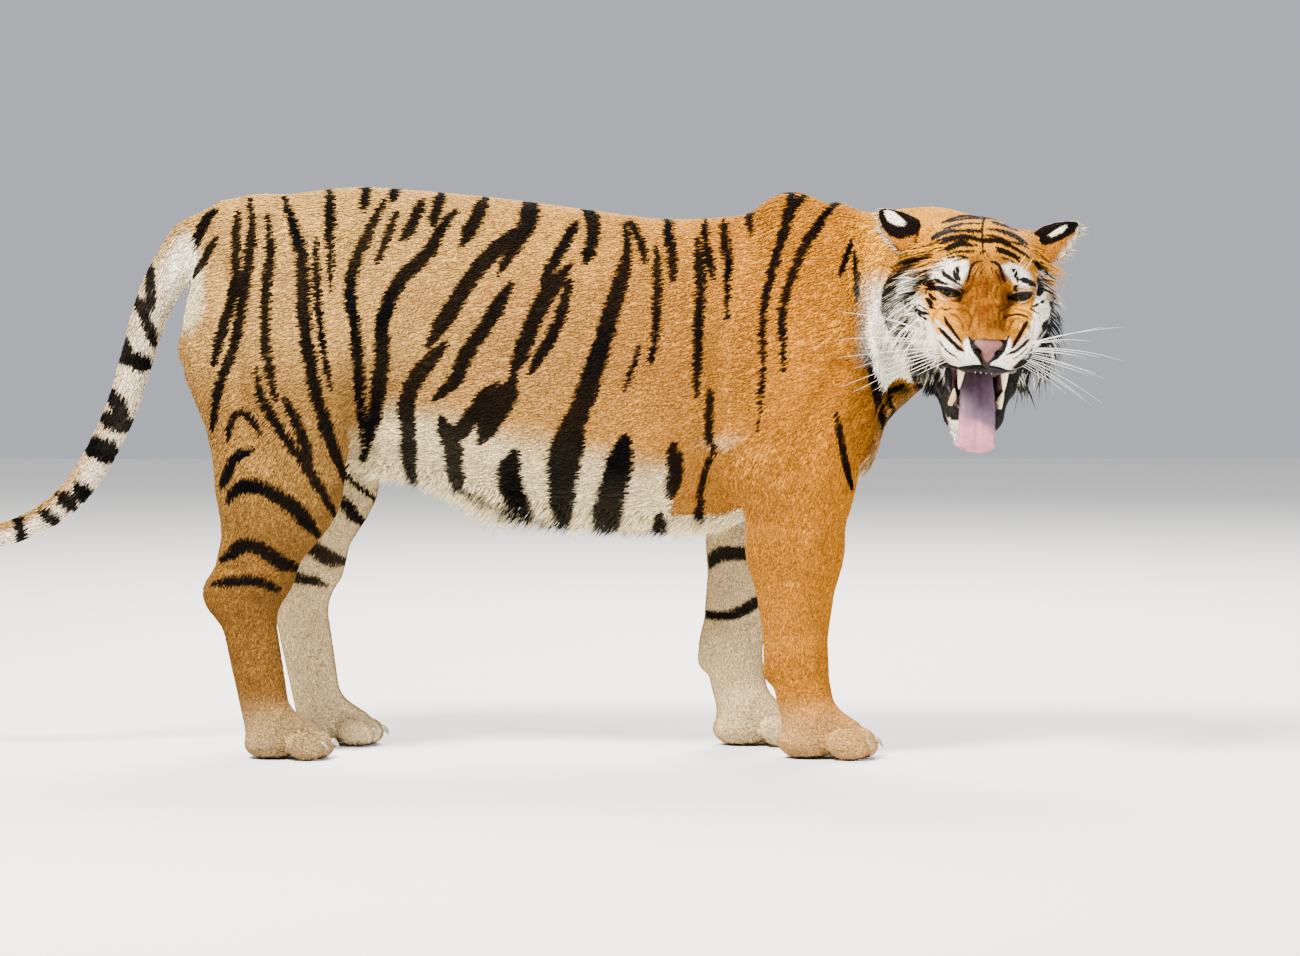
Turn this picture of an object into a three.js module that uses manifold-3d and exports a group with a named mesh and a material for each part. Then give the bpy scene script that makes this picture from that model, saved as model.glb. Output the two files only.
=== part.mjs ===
// A Bengal tiger, life size, standing with its head turned to its right and its mouth open, as a set of
// closed solids. Millimetres, +Z up, +X towards the chest, +Y to the animal's left. The soles stand on
// Z = 0, and the origin is under the middle of the whole animal, tail included.
import * as THREE from "three";
import { mergeVertices } from "three/addons/utils/BufferGeometryUtils.js";
import Module from "manifold-3d";

const wasm = await Module();
wasm.setup();

// ---------------------------------------------------------------- driving dimensions

const GAP = 0.3; // between parts that touch

// The trunk, from rump to chest: the heights of its top line, widest level and underline, and its half
// width.
const TRUNK = [
  { x: -742, top: 973, wide: 830, bottom: 640, half: 118 },
  { x: -640, top: 991, wide: 800, bottom: 560, half: 148 },
  { x: -520, top: 1005, wide: 775, bottom: 506, half: 160 },
  { x: -400, top: 999, wide: 735, bottom: 484, half: 166 },
  { x: -270, top: 987, wide: 700, bottom: 440, half: 178 },
  { x: -120, top: 967, wide: 680, bottom: 412, half: 190 },
  { x: 20, top: 949, wide: 680, bottom: 402, half: 191 },
  { x: 140, top: 953, wide: 690, bottom: 402, half: 180 },
  { x: 250, top: 973, wide: 700, bottom: 425, half: 162 },
  { x: 325, top: 971, wide: 720, bottom: 480, half: 140 },
];
const TRUNK_CAP = 66; // how far its rounded ends reach past the first and last of these
const TRUNK_SQUARENESS = 2.25; // the exponent of its sections, 2 being an ellipse

// The head's own frame has its origin midway between the eyes, +X along the muzzle and +Z up.
const HEAD_AT = [578, -262, 822];
const HEAD_YAW = -86.5; // degrees from straight ahead: turned to look over its right shoulder
const HEAD_PITCH = 9; // nose down
const HEAD_ROLL = -4; // left cheek down
const JAW_HINGE = [-95, 0, -75];
const JAW_OPEN = 36; // degrees
const EYE = { at: [-6, 63, 0], radius: 19, lid: 4.5, slit: [20, 6], slant: 18 };
const EAR = {
  root: [-138, 98, 50],
  tip: [-166, 170, 98],
  half_width: 38,
  depth: 24,
  faces: [0.72, -0.1, 0.7], // the way its back looks
  taper: 0.5, // how much narrower it is at its tip
};
const TONGUE_LINE = [
  [-46, 0, -128],
  [-24, 0, -137],
  [8, 0, -158],
  [38, 0, -181],
  [59, 0, -208],
  [68, 0, -240],
  [68, 0, -272],
];

// Each leg's joints in the body's frame, with y outwards from the mid-plane.
const LEGS = {
  foreleg_right: { side: -1, shift: 0 },
  foreleg_left: { side: 1, shift: -112 },
  hindleg_right: { side: -1, shift: 0, knee_shift: 0 },
  hindleg_left: { side: 1, shift: 78, knee_shift: 34 },
};

// The tail's centre line, and its radius from root to tip.
const TAIL_LINE = [
  [-738, 0, 905],
  [-800, 0, 897],
  [-846, 0, 850],
  [-880, 0, 786],
  [-904, -2, 708],
  [-945, -6, 584],
  [-1028, -12, 450],
  [-1138, -16, 388],
  [-1268, -14, 376],
  [-1408, -6, 458],
];
const TAIL_RADII = [60, 51, 41, 35, 32, 30, 27, 23, 20, 15];
const TAIL_LENGTHS = 4;

// A run of numbers from 0 to 1, the same each time.
let seed = 7;
function random() {
  seed = (seed * 16807) % 2147483647;
  return seed / 2147483647;
}

// ---------------------------------------------------------------- smooth forms as distance fields

const radians = THREE.MathUtils.degToRad;
const vec = (a) => new THREE.Vector3(...a);
const onSide = ([x, y, z], side) => [x, side * y, z];

// An ellipsoid: centre, radii, and a turn about the y axis in degrees.
function mass(centre, radii, blend = 25, tilt = 0) {
  const [cx, cy, cz] = centre;
  const [rx, ry, rz] = radii;
  const c = Math.cos(radians(tilt)),
    s = Math.sin(radians(tilt));
  return {
    blend,
    distance(x, y, z) {
      const dx = x - cx,
        dy = y - cy,
        dz = z - cz;
      const u = (c * dx - s * dz) / rx,
        v = dy / ry,
        w = (s * dx + c * dz) / rz;
      const k = Math.hypot(u, v, w);
      const g = Math.hypot(u / rx, v / ry, w / rz);
      return g > 1e-9 ? (k * (k - 1)) / g : -Math.min(rx, ry, rz);
    },
  };
}

// A tapered limb from a to b. flat is how many times narrower it is across, along y, than front to back.
function limb(a, b, ra, rb, blend = 25, flat = 1) {
  const bx = b[0] - a[0],
    by = (b[1] - a[1]) * flat,
    bz = b[2] - a[2];
  const length2 = bx * bx + by * by + bz * bz;
  return {
    blend,
    distance(x, y, z) {
      const px = x - a[0],
        py = (y - a[1]) * flat,
        pz = z - a[2];
      const t = THREE.MathUtils.clamp((px * bx + py * by + pz * bz) / length2, 0, 1);
      const away = Math.hypot(px - t * bx, py - t * by, pz - t * bz);
      return (away - (ra + (rb - ra) * t)) / Math.sqrt(flat);
    },
  };
}

const SIDES = [-1, 1]; // the animal's right and left
const both = (make) => SIDES.map(make);

const smoothUnion = (a, b, k) => {
  const h = Math.max(k - Math.abs(a - b), 0) / k;
  return Math.min(a, b) - (h * h * k) / 4;
};

// One field from a list of forms, less a list of hollows.
function fieldOf(forms, hollows = []) {
  return (x, y, z) => {
    let d = 1e6;
    for (const form of forms) d = smoothUnion(d, form.distance(x, y, z), form.blend);
    for (const hollow of hollows) d = -smoothUnion(-d, hollow.distance(x, y, z), hollow.blend);
    return d;
  };
}

// ---------------------------------------------------------------- from field to mesh to solid

// A grid axis from one end to the other, with steps that shrink to fine between near and far.
function axis(from, to, step, near = from, far = from, fine = step) {
  const ticks = [from];
  while (ticks.at(-1) < to) {
    const at = ticks.at(-1);
    const outside = Math.max(near - at, at - far, 0);
    ticks.push(at + Math.min(step, fine + 0.35 * outside));
  }
  return ticks;
}

// Surface nets: one vertex in each grid cell that the surface crosses, moved on to the surface, and one
// quad round each grid edge that it crosses. What reaches the grid's border is closed off there.
function polygonise(field, [xs, ys, zs]) {
  const [nx, ny, nz] = [xs.length, ys.length, zs.length];
  const index = (i, j, k) => i + nx * (j + ny * k);
  const value = new Float32Array(nx * ny * nz);
  for (let k = 0; k < nz; k++)
    for (let j = 0; j < ny; j++)
      for (let i = 0; i < nx; i++) {
        const border = i * j * k === 0 || i === nx - 1 || j === ny - 1 || k === nz - 1;
        value[index(i, j, k)] = border ? 1 : field(xs[i], ys[j], zs[k]);
      }
  partDiagonals(value, index, [nx, ny, nz]);
  const points = [],
    vertexOf = new Int32Array(value.length).fill(-1);
  for (let k = 0; k < nz - 1; k++)
    for (let j = 0; j < ny - 1; j++)
      for (let i = 0; i < nx - 1; i++) {
        const start = cellPoint(field, value, index, xs, ys, zs, i, j, k);
        if (start) vertexOf[index(i, j, k)] = points.push(start) - 1;
      }
  const faces = [];
  const quad = (a, b, c, d, flip) => {
    const p = [a, b, c, d].map((n) => vertexOf[n]);
    if (flip) p.reverse();
    const [A, B, C, D] = p.map((n) => points[n]);
    if (A.distanceTo(C) < B.distanceTo(D)) faces.push(p[0], p[1], p[2], p[0], p[2], p[3]);
    else faces.push(p[1], p[2], p[3], p[1], p[3], p[0]);
  };
  for (let k = 0; k < nz - 1; k++)
    for (let j = 0; j < ny - 1; j++)
      for (let i = 0; i < nx - 1; i++) {
        const here = value[index(i, j, k)] < 0;
        const around = (di, dj, dk) => index(i - di, j - dj, k - dk);
        if (here !== value[index(i + 1, j, k)] < 0)
          quad(around(0, 1, 1), around(0, 0, 1), around(0, 0, 0), around(0, 1, 0), !here);
        if (here !== value[index(i, j + 1, k)] < 0)
          quad(around(1, 0, 1), around(1, 0, 0), around(0, 0, 0), around(0, 0, 1), !here);
        if (here !== value[index(i, j, k + 1)] < 0)
          quad(around(1, 1, 0), around(0, 1, 0), around(0, 0, 0), around(1, 0, 0), !here);
      }
  const geometry = new THREE.BufferGeometry().setFromPoints(points);
  geometry.setIndex(faces);
  return geometry;
}

// Two grid points inside that meet only across a square's diagonal would share one edge of the surface
// between them, so the one nearer the surface is let go.
function partDiagonals(value, index, [nx, ny, nz]) {
  const squares = [
    [[1, 0, 0], [0, 1, 0]],
    [[0, 1, 0], [0, 0, 1]],
    [[0, 0, 1], [1, 0, 0]],
  ];
  for (let changed = true; changed; ) {
    changed = false;
    for (let k = 0; k < nz - 1; k++)
      for (let j = 0; j < ny - 1; j++)
        for (let i = 0; i < nx - 1; i++)
          for (const [[a, b, c], [d, e, f]] of squares) {
            const corners = [
              index(i, j, k),
              index(i + a + d, j + b + e, k + c + f),
              index(i + a, j + b, k + c),
              index(i + d, j + e, k + f),
            ];
            const inside = corners.map((n) => value[n] < 0);
            if (inside[0] !== inside[1] || inside[2] !== inside[3] || inside[0] === inside[2]) continue;
            const [one, two] = inside[0] ? corners.slice(0, 2) : corners.slice(2);
            value[value[one] > value[two] ? one : two] = 1e-3;
            changed = true;
          }
  }
}

// The middle of the surface's crossings of one cell's edges, settled on to the surface within the cell.
function cellPoint(field, value, index, xs, ys, zs, i, j, k) {
  const corner = (n) => [i + (n & 1), j + ((n >> 1) & 1), k + ((n >> 2) & 1)];
  const sum = new THREE.Vector3();
  let crossings = 0;
  for (let a = 0; a < 8; a++)
    for (const bit of [1, 2, 4]) {
      if (a & bit) continue;
      const [ca, cb] = [corner(a), corner(a | bit)];
      const [va, vb] = [value[index(...ca)], value[index(...cb)]];
      if (va < 0 === vb < 0) continue;
      const t = va / (va - vb);
      const [pa, pb] = [ca, cb].map(([u, v, w]) => new THREE.Vector3(xs[u], ys[v], zs[w]));
      sum.add(pa.lerp(pb, t));
      crossings++;
    }
  if (!crossings) return null;
  const p = sum.divideScalar(crossings);
  const low = new THREE.Vector3(xs[i], ys[j], zs[k]);
  const high = new THREE.Vector3(xs[i + 1], ys[j + 1], zs[k + 1]);
  const margin = high.clone().sub(low).multiplyScalar(0.04);
  for (let step = 0; step < 4; step++) {
    const g = gradient(field, p);
    p.addScaledVector(g, -field(p.x, p.y, p.z) / Math.max(g.lengthSq(), 0.05));
    p.clamp(low.clone().add(margin), high.clone().sub(margin));
  }
  return p;
}

function gradient(field, p, e = 0.5) {
  const along = (x, y, z) => field(p.x + x, p.y + y, p.z + z) - field(p.x - x, p.y - y, p.z - z);
  return new THREE.Vector3(along(e, 0, 0), along(0, e, 0), along(0, 0, e)).divideScalar(2 * e);
}

function solidOf(geometry) {
  for (const name of Object.keys(geometry.attributes))
    if (name !== "position") geometry.deleteAttribute(name);
  const merged = mergeVertices(geometry, 1e-3);
  const corners = merged.index.array,
    kept = [];
  for (let i = 0; i < corners.length; i += 3) {
    const [a, b, c] = corners.slice(i, i + 3);
    if (a !== b && b !== c && c !== a) kept.push(a, b, c);
  }
  return new wasm.Manifold(
    new wasm.Mesh({
      numProp: 3,
      vertProperties: Float32Array.from(merged.attributes.position.array),
      triVerts: Uint32Array.from(kept),
    }),
  );
}

function geometryOf(solid) {
  const { vertProperties, triVerts } = solid.getMesh();
  const geometry = new THREE.BufferGeometry();
  geometry.setAttribute("position", new THREE.BufferAttribute(vertProperties, 3));
  geometry.setIndex(new THREE.BufferAttribute(triVerts, 1));
  return geometry;
}

const largest = (solid) => solid.decompose().reduce((a, b) => (b.volume() > a.volume() ? b : a));

// All that lies beyond a plane, from half a gap before it.
function beyond({ point, normal }) {
  const side = 6000;
  const n = vec(normal).normalize();
  const block = new THREE.BoxGeometry(side, side, side).translate(0, 0, side / 2 - GAP / 2);
  block.applyQuaternion(new THREE.Quaternion().setFromUnitVectors(new THREE.Vector3(0, 0, 1), n));
  return solidOf(block.translate(...point));
}
const cutAt = (solid, plane) => solid.subtract(beyond(plane));
const otherSide = ({ point, normal }) => ({ point, normal: normal.map((x) => -x) });

// A solid grown by a distance along its vertex normals, to cut a neighbour back by that gap.
function grown(solid, by = 0.5) {
  const geometry = geometryOf(solid);
  geometry.computeVertexNormals();
  const { position, normal } = geometry.attributes;
  for (let i = 0; i < position.count; i++) {
    const p = new THREE.Vector3().fromBufferAttribute(position, i);
    p.addScaledVector(new THREE.Vector3().fromBufferAttribute(normal, i), by);
    position.setXYZ(i, p.x, p.y, p.z);
  }
  return solidOf(geometry);
}

const clearOf = (solids, solid) => solids.reduce((left, other) => left.subtract(grown(other)), solid);

// ---------------------------------------------------------------- the body's forms

const trunkProfile = new THREE.CubicInterpolant(
  TRUNK.map((s) => s.x),
  TRUNK.flatMap((s) => [s.top, s.wide, s.bottom, s.half]),
  4,
  new Float32Array(4),
);
const trunk = {
  blend: 40,
  distance(x, y, z) {
    const [first, last] = [TRUNK[0].x, TRUNK.at(-1).x];
    const along = THREE.MathUtils.clamp(x, first, last);
    const [top, wide, bottom, half] = trunkProfile.evaluate(along);
    const height = z > wide ? top - wide : wide - bottom;
    const n = TRUNK_SQUARENESS;
    const across = Math.pow(Math.abs(y / half), n) + Math.pow(Math.abs((z - wide) / height), n);
    const size = Math.hypot(Math.pow(across, 1 / n), (x - along) / TRUNK_CAP);
    return (size - 1) * 0.85 * Math.min(half, height);
  },
};

// A foreleg's forms: shoulder blade, upper arm, forearm, wrist and paw. The paw's middle is at its own x.
function forelegForms({ side, shift }) {
  const at = (x, y, z, share = 1) => [x + shift * share, side * y, z];
  const elbow = at(196, 138, 492, 0.3);
  const forearm = at(262, 142, 492, 0.3);
  const wrist = at(256, 122, 178);
  return [
    limb(at(252, 48, 930, 0), at(322, 112, 700, 0.05), 54, 84, 45, 1.15),
    limb(at(318, 116, 690, 0.05), forearm, 96, 92, 45, 1.35),
    mass(at(208, 122, 628, 0.15), [78, 56, 140], 45, -14),
    limb(elbow, at(214, 138, 470, 0.35), 50, 50, 30, 1.1),
    limb(forearm, at(254, 134, 366, 0.6), 96, 84, 30, 1.32),
    limb(at(254, 134, 366, 0.6), wrist, 84, 54, 24, 1.25),
    limb(wrist, at(278, 118, 76), 54, 50, 20, 1.05),
    mass(at(216, 118, 152), [20, 18, 20], 14),
    ...pawForms(at(292, 116, 0), side, 1),
  ];
}

// A hind leg's forms: thigh, shank, hock with its heel, metatarsus and paw.
function hindlegForms({ side, shift, knee_shift }) {
  const at = (x, y, z, share = 1) => [x + shift * share + knee_shift * (1 - share) * share * 2, side * y, z];
  const hock = at(-712, 128, 292);
  return [
    mass(at(-672, 92, 748, 0), [148, 84, 178], 50, 4),
    limb(at(-664, 112, 680, 0.1), at(-652, 134, 500, 0.4), 140, 110, 45, 1.8),
    limb(at(-612, 134, 540, 0.3), at(-634, 138, 452, 0.5), 70, 74, 40, 1.3),
    limb(at(-652, 136, 470, 0.5), at(-692, 132, 330, 0.9), 102, 68, 32, 1.55),
    limb(at(-692, 132, 330, 0.9), hock, 66, 60, 24, 1.4),
    mass(at(-752, 128, 288), [34, 26, 38], 20, -20),
    limb(hock, at(-672, 124, 66), 52, 44, 26, 1.15),
    ...pawForms(at(-652, 124, 0), side, 0.9),
  ];
}

// A paw on the floor: its pad, the arch of its back, and four toes in a fan.
const PAW = { length: 176, width: 150, toe: { length: 40, half: 23, height: 30 }, reach: 62, fan: 12 };
const TOES = [-1.5, -0.5, 0.5, 1.5];
function pawForms([x, y], side, size) {
  const s = (n) => n * size;
  const forms = [
    mass([x - s(16), y, s(30)], [s(54), s(55), s(36)], 16),
    limb([x - s(6), y, s(62)], [x + s(50), y, s(38)], s(48), s(36), 18, 0.82),
  ];
  for (const n of TOES) {
    const middle = Math.abs(n) < 1;
    const tx = x + s(PAW.reach + (middle ? 10 : -8)),
      ty = y + s(n * PAW.width * 0.235);
    forms.push(mass([tx, ty, s(27)], [s(PAW.toe.length), s(PAW.toe.half), s(PAW.toe.height)], 7, 12));
  }
  return forms;
}

const legForms = Object.entries(LEGS).flatMap(([name, leg]) =>
  name.startsWith("fore") ? forelegForms(leg) : hindlegForms(leg),
);

const bodyForms = [
  trunk,
  mass([392, -4, 772], [140, 128, 188], 70, 14),
  mass([505, -42, 822], [112, 122, 146], 60, 0),
  mass([352, 0, 600], [52, 92, 110], 60, -10),
  limb([-700, 0, 900], [-800, 0, 896], 70, 50, 50),
  mass([-806, 0, 716], [30, 34, 46], 22),
  ...legForms,
];

// ---------------------------------------------------------------- the head's forms, in the head's frame

const hinge = vec(JAW_HINGE);
const jawTurn = new THREE.Quaternion().setFromAxisAngle(new THREE.Vector3(0, 1, 0), radians(JAW_OPEN));
// A point of the closed jaw, where it is with the mouth open.
const opened = (p) => vec(p).sub(hinge).applyQuaternion(jawTurn).add(hinge).toArray();

const headForms = [
  mass([-106, 0, 18], [104, 94, 98], 25), // the crown
  mass([-52, 0, 20], [82, 74, 46], 22, -14), // the forehead
  mass([-190, 0, -24], [96, 112, 118], 50), // where the neck takes over
  mass([-125, 0, -88], [92, 84, 72], 40), // the throat
  limb([-4, 0, -12], [91, 0, -67], 40, 30, 18), // the bridge of the nose
  mass([48, 0, -79], [72, 58, 38], 20, 6), // the upper jaw
  ...both((s) => mass([74, s * 42, -81], [47, 42, 37], 12, 4)), // the whisker pads
  ...both((s) => mass([12, s * 66, -80], [50, 26, 34], 22, 10)), // the sides of the upper lip
  ...both((s) => mass([26, s * 58, -44], [46, 30, 22], 16, 24)), // below the eyes
  ...both((s) => mass([-46, s * 84, -34], [68, 42, 46], 24)), // the cheekbones
  ...both((s) => mass([-84, s * 86, -84], [62, 42, 62], 26)), // the cheeks
  ...both((s) => mass([-8, s * 50, 20], [28, 36, 15], 14, 10)), // the brows
  ...both((s) => mass([-104, s * 60, 34], [78, 44, 48], 26)), // the temples
  ...both((s) => mass([-142, s * 82, 58], [36, 32, 32], 22)), // the roots of the ears
  mass(opened([80, 0, -129]), [37, 44, 30], 18, JAW_OPEN), // the chin
  // the two sides of the lower jaw
  ...both((s) => limb(opened([-60, s * 56, -112]), opened([66, s * 30, -128]), 30, 24, 22)),
  mass(opened([-8, 0, -128]), [92, 52, 17], 16, JAW_OPEN), // the floor of the mouth
  // the corners of the mouth
  ...both((s) => limb([-16, s * 64, -96], opened([4, s * 52, -112]), 22, 22, 26)),
];
const mouthHollow = [
  limb([-62, 0, -116], [60, 0, -146], 20, 36, 10),
  mass([52, 0, -152], [84, 46, 38], 10, 26),
  mass([96, 0, -127], [60, 46, 14], 8, 0),
];
const eyeHollows = both((s) => mass([36, s * 60, -1], [24, 26, 15], 12));

const headFrame = new THREE.Matrix4().compose(
  vec(HEAD_AT),
  new THREE.Quaternion().setFromEuler(
    new THREE.Euler(radians(HEAD_ROLL), radians(HEAD_PITCH), radians(HEAD_YAW), "ZYX"),
  ),
  new THREE.Vector3(1, 1, 1),
);
const toHead = headFrame.clone().invert();
const scratch = new THREE.Vector3();

// The whole flesh of the animal, in the body's frame.
const headField = fieldOf(headForms);
const bodyField = fieldOf(bodyForms);
const hollowField = fieldOf([...mouthHollow, ...eyeHollows]);
function flesh(x, y, z) {
  const p = scratch.set(x, y, z).applyMatrix4(toHead);
  const near = p.length() < 520;
  let d = bodyField(x, y, z);
  if (near) d = -smoothUnion(-smoothUnion(d, headField(p.x, p.y, p.z), 40), hollowField(p.x, p.y, p.z), 8);
  return d;
}
const fleshFromHead = (x, y, z) => {
  const p = new THREE.Vector3(x, y, z).applyMatrix4(headFrame);
  return flesh(p.x, p.y, p.z);
};

// ---------------------------------------------------------------- where the body is parted

const NECK_SEAM = { point: [506, -40, 820], normal: [0.64, -0.77, 0] };
const CHEST_SEAM = { point: [352, 0, 800], normal: [0.93, 0, 0.36] };
const RIB_SEAM = { point: [40, 0, 700], normal: [1, 0, 0] };
const LOIN_SEAM = { point: [-402, 0, 700], normal: [1, 0, 0] };
const TAIL_SEAM = { point: [-786, 0, 900], normal: [-0.8, 0, -0.6] };
const SHOULDER_SEAMS = both((side) => ({ point: [250, side * 76, 428], normal: [0, side * 0.82, -0.57] }));
const HIP_SEAMS = both((side) => ({ point: [-600, side * 66, 520], normal: [-0.25, side * 0.72, -0.65] }));
const ELBOW_SEAM = { point: [230, 0, 425], normal: [0, 0, -1] };
const KNEE_SEAM = { point: [-600, 0, 450], normal: [0.35, 0, -0.94] };
const WRIST_SEAM = { point: [260, 0, 150], normal: [0, 0, -1] };
const HOCK_SEAM = { point: [-715, 0, 245], normal: [0.12, 0, -0.99] };
const ANKLE_SEAM = { point: [-690, 0, 110], normal: [0, 0, -1] };
const SOLE = { point: [0, 0, -GAP / 2], normal: [0, 0, -1] };

const BODY_STEP = 65,
  LIMB_STEP = 50,
  PAW_STEP = 25.5;

const parts = [];
const uncut = []; // the flesh before it is parted, which the long hair is cut clear of
const FUR = { color: 0xc98a45, roughness: 0.9, metalness: 0 };
function addPart(name, solid, look = FUR, frame = null) {
  const mesh = new THREE.Mesh(geometryOf(solid), new THREE.MeshStandardMaterial(look));
  mesh.name = name;
  if (frame) mesh.applyMatrix4(frame);
  parts.push(mesh);
  return solid;
}

// One part of a solid: what is left of it behind every one of these planes.
const fleshPart = (name, whole, keep) => addPart(name, largest(keep.reduce(cutAt, whole)));

function trunkParts() {
  const grid = [
    axis(-915, 740, BODY_STEP, 170, 300, 34),
    axis(-265, 265, BODY_STEP - 14),
    axis(365, 1040, BODY_STEP),
  ];
  const whole = solidOf(polygonise(flesh, grid));
  uncut.push(whole);
  fleshPart("neck", whole, [otherSide(CHEST_SEAM), NECK_SEAM]);
  fleshPart("chest", whole, [CHEST_SEAM, otherSide(RIB_SEAM), ...SHOULDER_SEAMS]);
  fleshPart("barrel", whole, [RIB_SEAM, otherSide(LOIN_SEAM)]);
  const rump = new THREE.BoxGeometry(400, 200, 240).translate(-900, 0, 920);
  const tailRoot = beyond(TAIL_SEAM).intersect(solidOf(rump));
  fleshPart("hindquarters", whole.subtract(tailRoot), [LOIN_SEAM, ...HIP_SEAMS]);
  for (const [name, { side }] of Object.entries(LEGS)) {
    const n = side < 0 ? 0 : 1;
    const inner = otherSide((name.startsWith("fore") ? SHOULDER_SEAMS : HIP_SEAMS)[n]);
    if (name.startsWith("fore"))
      fleshPart(`${name}_upper`, whole, [CHEST_SEAM, otherSide(RIB_SEAM), inner, ELBOW_SEAM]);
    else fleshPart(`${name}_thigh`, whole, [LOIN_SEAM, inner, KNEE_SEAM]);
  }
}

// A lower leg's parts, each polygonised on a grid of its own: its name, x, y and z ranges, step and seams.
function lowerLegParts(name, { side, shift }) {
  const fore = name.startsWith("fore");
  const rows = fore
    ? [
        ["forearm", [100, 400], [10, 250], [110, 470], LIMB_STEP, [ELBOW_SEAM, WRIST_SEAM]],
        ["paw", [165, 440], [10, 225], [-20, 190], PAW_STEP, [WRIST_SEAM, SOLE]],
      ]
    : [
        ["shank", [-830, -480], [20, 240], [200, 560], LIMB_STEP, [KNEE_SEAM, HOCK_SEAM]],
        ["metatarsus", [-820, -600], [30, 220], [70, 290], LIMB_STEP - 4, [HOCK_SEAM, ANKLE_SEAM]],
        ["paw", [-780, -500], [30, 220], [-20, 150], PAW_STEP, [ANKLE_SEAM, SOLE]],
      ];
  const root = otherSide((fore ? SHOULDER_SEAMS : HIP_SEAMS)[side < 0 ? 0 : 1]);
  for (const [part, [x0, x1], [y0, y1], [z0, z1], step, [above, below]] of rows) {
    const ys = side < 0 ? axis(-y1, -y0, step) : axis(y0, y1, step);
    const zs = part === "paw" ? axis(z0, z1, step * 2, z0, 60, step) : axis(z0, z1, step);
    const grid = [axis(x0 + shift, x1 + shift, step), ys, zs];
    const keep = [otherSide(above), below];
    if (above === ELBOW_SEAM || above === KNEE_SEAM) keep.push(root);
    if (above === ELBOW_SEAM) keep.push(otherSide(RIB_SEAM));
    const whole = solidOf(polygonise(flesh, grid));
    uncut.push(whole);
    fleshPart(`${name}_${part}`, whole, keep);
  }
}

// ---------------------------------------------------------------- tail, tongue, teeth and locks: bent bars

// A bar of round or flat section along a curve: a closed cylinder or cone whose rings are carried on to it.
// width, measured along side, and thick are functions of the share of the length.
function bar(curve, sides, rings, width, thick, side = new THREE.Vector3(0, 1, 0), pointed = false) {
  const base = pointed
    ? new THREE.ConeGeometry(1, 1, sides, rings)
    : new THREE.CylinderGeometry(1, 1, 1, sides, rings);
  const { position } = base.attributes;
  for (let i = 0; i < position.count; i++) {
    const t = THREE.MathUtils.clamp(position.getY(i) + 0.5, 0, 1);
    const taper = pointed ? Math.max(1 - t, 1e-6) : 1;
    const shut = pointed && t > 0.9999 ? 0 : 1;
    const p = curve.getPoint(t),
      along = curve.getTangent(t);
    const across = side.clone().addScaledVector(along, -side.dot(along)).normalize();
    const over = new THREE.Vector3().crossVectors(along, across);
    p.addScaledVector(across, (position.getX(i) / taper) * width(t) * shut);
    p.addScaledVector(over, (position.getZ(i) / taper) * thick(t) * shut);
    position.setXYZ(i, p.x, p.y, p.z);
  }
  const solid = solidOf(base);
  return solid.volume() < 0 ? solidOf(flipped(base)) : solid;
}

function flipped(geometry) {
  const order = geometry.index.array;
  for (let i = 0; i < order.length; i += 3) [order[i + 1], order[i + 2]] = [order[i + 2], order[i + 1]];
  return geometry;
}

function tailParts() {
  const line = new THREE.CatmullRomCurve3(TAIL_LINE.map(vec), false, "centripetal");
  const radii = new THREE.SplineCurve(TAIL_RADII.map((r, i) => new THREE.Vector2(i, r)));
  const rounded = (t) => Math.sqrt(Math.max(1 - Math.max((t - 0.97) / 0.031, 0) ** 2, 0.02));
  const radius = (t) => radii.getPoint(t).y * rounded(t);
  const whole = bar(line, 9, 22, radius, radius);
  const seams = [TAIL_SEAM];
  for (let n = 1; n < TAIL_LENGTHS; n++) {
    const t = 0.08 + (0.92 * n) / TAIL_LENGTHS;
    seams.push({ point: line.getPoint(t).toArray(), normal: line.getTangent(t).toArray() });
  }
  for (let n = 0; n < TAIL_LENGTHS; n++) {
    let piece = cutAt(whole, otherSide(seams[n]));
    if (n + 1 < TAIL_LENGTHS) piece = cutAt(piece, seams[n + 1]);
    addPart(`tail_${n + 1}`, largest(piece));
  }
}

// The long hair under the belly: the level of its roots and the depth of its tips below them.
const FRINGE = [
  { x: -560, z: 512, depth: 0 },
  { x: -470, z: 492, depth: 33 },
  { x: -330, z: 462, depth: 36 },
  { x: -262, z: 438, depth: 56 },
  { x: -150, z: 418, depth: 38 },
  { x: 20, z: 402, depth: 34 },
  { x: 110, z: 402, depth: 33 },
  { x: 190, z: 405, depth: 8 },
];
const FRINGE_ROWS = [-46, 38],
  FRINGE_LOCKS = 10;
function fringe() {
  const depths = new THREE.SplineCurve(FRINGE.map(({ x, depth }) => new THREE.Vector2(x, depth)));
  const line = smoothLine(FRINGE.map(({ x, z }) => [x, 0, z + 4]));
  const deep = (t) => Math.max(depths.getPoint(t).y * 0.5, 5);
  const wide = (t) => 92 * Math.sin(Math.PI * THREE.MathUtils.clamp(0.08 + 0.84 * t, 0, 1)) ** 0.5;
  let solid = bar(line, 8, 8, wide, deep);
  for (const [row, y] of FRINGE_ROWS.entries())
    for (let n = 0; n < FRINGE_LOCKS; n++) {
      const t = (n + 0.45 + 0.5 * row) / FRINGE_LOCKS;
      const root = line.getPoint(t).add(new THREE.Vector3(0, y, 6));
      const depth = Math.max(depths.getPoint(t).y, 8) * (1 + 0.16 * (random() - 0.5));
      const tip = root.clone().add(new THREE.Vector3(-36, y * 0.1, -depth - 10));
      const bulge = new THREE.Vector3(6, y * 0.2, -depth * 0.1);
      solid = solid.add(lock(root, tip, 56, 16, new THREE.Vector3(1, 0, 0), bulge));
    }
  addPart("belly_fringe", largest(clearOf(uncut, largest(solid))));
}

// ---------------------------------------------------------------- the head's parts, in the head's frame

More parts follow.
